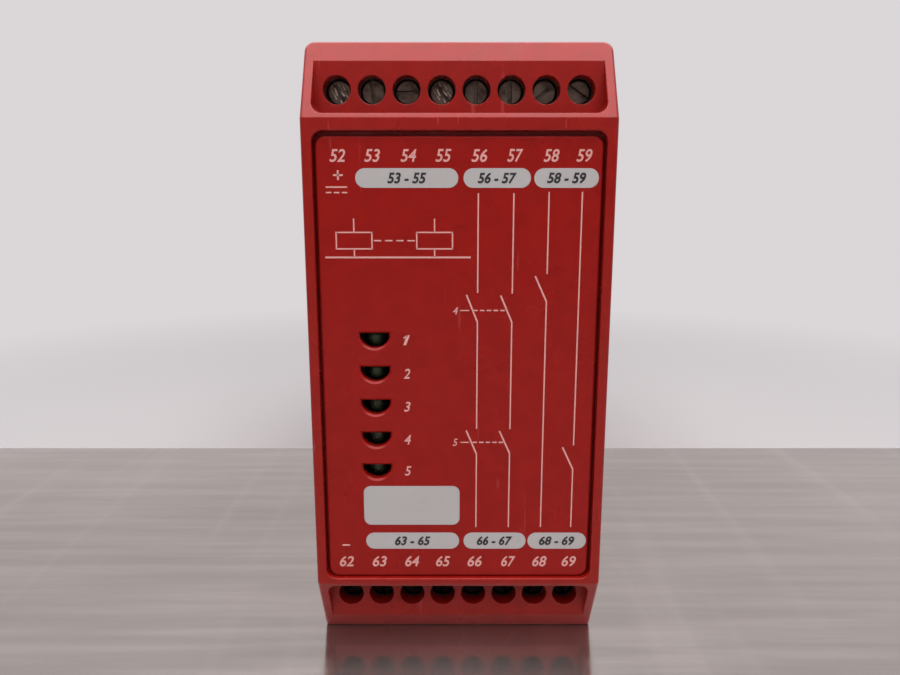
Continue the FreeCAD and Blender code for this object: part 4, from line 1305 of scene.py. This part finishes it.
# ---- Electronics ------------------------------------------------------------------
@dataclass
class Electronics:
    """Boards and all that they carry, with the small parts that show through the vents."""

    nodes: Nodes
    lamps: int = 5
    legs: int = 8
    leg_mm: Point = (1.9, 0.5, 0.7)
    resistor_mm: Point = (0.6, 2.2, 1.25)
    end_mm: Point = (0.66, 0.45, 1.3)
    resistor_rows: tuple[float, ...] = (8.0, 14.0, 80.0, 86.0)
    resistors: int = 9
    first_mm: float = 9.0
    step_mm: float = 8.2
    edge: float = 0.08 * MM

    def dress_nodes(self) -> None:
        """Dresses the frame's boards, relays, lamps and supply parts."""
        for finish, names in (
            (Kit.FRONT_BOARD, ("terminal_board",)),
            (Kit.BOARD, ("supply_board", "relay_board")),
            (Kit.HEADER, ("supply_header", "relay_header")),
            (Kit.BLACK, ("lamp_holder",)),
            (Kit.RELAY_CASE, ("relay_k1", "relay_k2")),
            (Kit.CAPACITOR, ("smoothing_capacitor",)),
            (Kit.CHIP, ("voltage_regulator", "supply_fuse", "logic_chip")),
            (Kit.VARISTOR, ("varistor",)),
            (Kit.LAMP, [f"lamp_{number}" for number in range(1, self.lamps + 1)]),
        ):
            finish.value.dress(*(self.nodes[name] for name in names))

    def chip_legs(self) -> None:
        """Adds the logic chip's two rows of legs."""
        low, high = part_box("logic_chip")
        legs = []
        for side, z in ((-1, low.z), (1, high.z)):
            for step in range(self.legs):
                y = low.y + (step + 0.9) * (high.y - low.y) / (self.legs + 0.8)
                centre = Vector(((low.x + high.x) / 2 + 0.7 * MM, y, z + side * 0.35 * MM))
                legs.append(Bench.body(centre, Vector(self.leg_mm) * MM, self.edge))
        seat(Bench.joined("chip_legs", legs), Kit.BAR, "housing")

    def small_parts(self, board: str, facing: int) -> None:
        """Adds rows of small resistors on a side board.

        Args:
            board: The board's node.
            facing: 1 where the parts stand towards +X, -1 towards -X.
        """
        low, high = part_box(board)
        face = high.x if facing > 0 else low.x
        bodies, ends = [], []
        for z_mm in self.resistor_rows:
            for step in range(self.resistors):
                y = low.y + (self.first_mm + self.step_mm * step) * MM
                centre = Vector((face + facing * 0.3 * MM, y, z_mm * MM))
                bodies.append(Bench.body(centre, Vector(self.resistor_mm) * MM, self.edge))
                for side in (-1, 1):
                    cap = centre + Vector((0, side * 1.15 * MM, 0))
                    ends.append(Bench.body(cap, Vector(self.end_mm) * MM, self.edge))
        seat(Bench.joined(f"{board}_resistors", bodies), Kit.CHIP, "housing")
        seat(Bench.joined(f"{board}_resistor_ends", ends), Kit.BAR, "housing")

    def build(self) -> None:
        """Dresses the boards and adds the small parts."""
        self.dress_nodes()
        self.chip_legs()
        self.small_parts("supply_board", -1)
        self.small_parts("relay_board", 1)


# ---- Studio -----------------------------------------------------------------------
@dataclass(frozen=True)
class Softbox:
    """A square area lamp that points at the relay."""

    name: str
    place: Point
    size: float
    power: float
    aim: Point = (0.0, 0.0, 0.045)

    def build(self) -> None:
        """Hangs the lamp."""
        lamp = bpy.data.lights.new(self.name, "AREA")
        lamp.shape = "SQUARE"
        lamp.size = self.size
        lamp.energy = self.power
        holder = bpy.data.objects.new(self.name, lamp)
        bpy.context.scene.collection.objects.link(holder)
        holder.visible_glossy = False
        holder.location = self.place
        aim = Vector(self.aim) - Vector(self.place)
        holder.rotation_euler = aim.to_track_quat("-Z", "Y").to_euler()


@dataclass
class Studio:
    """Table, world, lamp and camera."""

    table_size: float = 4
    table_cuts: int = 7
    dim: Colour = (0.05, 0.045, 0.045)
    pale: Colour = (0.49, 0.48, 0.485)
    pale_y: Span = (-0.15, 0.5)
    pale_z: Span = (-0.1, 0.7)
    dim_gloss: Colour = (0.025, 0.02, 0.02)
    gloss_y: Span = (-0.4, 0.25)
    gloss_z: Span = (0.02, 0.22)
    overhead_gloss: Colour = (4.6, 4.5, 4.5)
    overhead_z: Span = (0.64, 0.82)
    sensor_mm: float = 36.0
    lens_mm: float = 27.82
    clip_start: float = 0.004
    camera_place: Point = (-0.00132, -0.16097, 0.07098)
    camera_dip: float = 10.98
    lamp: Softbox = Softbox("ceiling_lamp", (0.02, -0.315, 0.755), 0.95, 10.3)

    def table(self) -> None:
        """Lays the table top."""
        Bench.clear()
        bpy.ops.mesh.primitive_plane_add(size=self.table_size, location=(0, 0, 0))
        top = bpy.context.object
        top.name = "table_top"
        with Bench.editing():
            bpy.ops.mesh.subdivide(number_cuts=self.table_cuts)
        Kit.TABLE.value.dress(top)

    def world(self) -> None:
        """Surrounds the relay with a pale room that is dim on the viewer's side."""
        scene = bpy.context.scene
        scene.world = bpy.data.worlds.new("room")
        scene.world.use_nodes = True
        tree = scene.world.node_tree
        tree.nodes.clear()
        w = Wiring(tree)
        direction = w.fed("TexCoord", "Generated", {})
        y, z = w.axis(direction, "Y"), w.axis(direction, "Z")
        above = w.sum("MULTIPLY", w.ranged(z, *self.pale_z), 0.6)
        share = w.sum("MAXIMUM", w.ranged(y, *self.pale_y), above)
        diffuse = w.mixed(share, self.dim, self.pale)
        high = w.ranged(z, *self.gloss_z, 0.0, 0.85)
        around = w.sum("MAXIMUM", w.ranged(y, *self.gloss_y), high)
        gloss = w.mixed(around, self.dim_gloss, BACKDROP)
        gloss = w.mixed(w.ranged(z, *self.overhead_z), gloss, self.overhead_gloss)
        ray = w.node("LightPath").outputs
        direct = w.sum("MAXIMUM", ray["Is Camera Ray"], ray["Is Transmission Ray"])
        light = w.fed("Background", 0, {"Color": w.mixed(ray["Is Glossy Ray"], diffuse, gloss)})
        seen = w.fed("Background", 0, {"Color": BACKDROP})
        mix = w.fed("MixShader", 0, {0: direct, 1: light, 2: seen})
        w.feed(w.node("OutputWorld").inputs[0], mix)

    def camera(self) -> None:
        """Sets the camera in front, a little above the relay's middle."""
        lens = bpy.data.cameras.new("front_camera")
        lens.sensor_width = self.sensor_mm
        lens.lens = self.lens_mm
        lens.clip_start = self.clip_start
        holder = bpy.data.objects.new("front_camera", lens)
        bpy.context.scene.collection.objects.link(holder)
        holder.location = self.camera_place
        holder.rotation_euler = (math.radians(90 - self.camera_dip), 0, 0)
        bpy.context.scene.camera = holder

    def build(self) -> None:
        """Sets the whole studio."""
        self.table()
        self.world()
        self.lamp.build()
        self.camera()
        bpy.context.scene.view_settings.view_transform = "Standard"


def main() -> None:
    """Builds every sub-assembly and reports it."""
    logging.basicConfig(level=logging.INFO, format="%(message)s")
    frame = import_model()
    nodes = frame["nodes"]
    Housing(nodes).build()
    LabelPlate(nodes).build()
    TerminalRow(nodes, Row.TOP, torn={1: 118.0, 4: 126.0}).build()
    # The bottom row's screws take the darker plating copy, which is painted shade.
    TerminalRow(nodes, Row.BOTTOM, screw_finish=Kit.SHADED_SCREW).build()
    Electronics(nodes).build()
    Studio().build()
    Bench.clear()


if __name__ == "__main__":
    main()
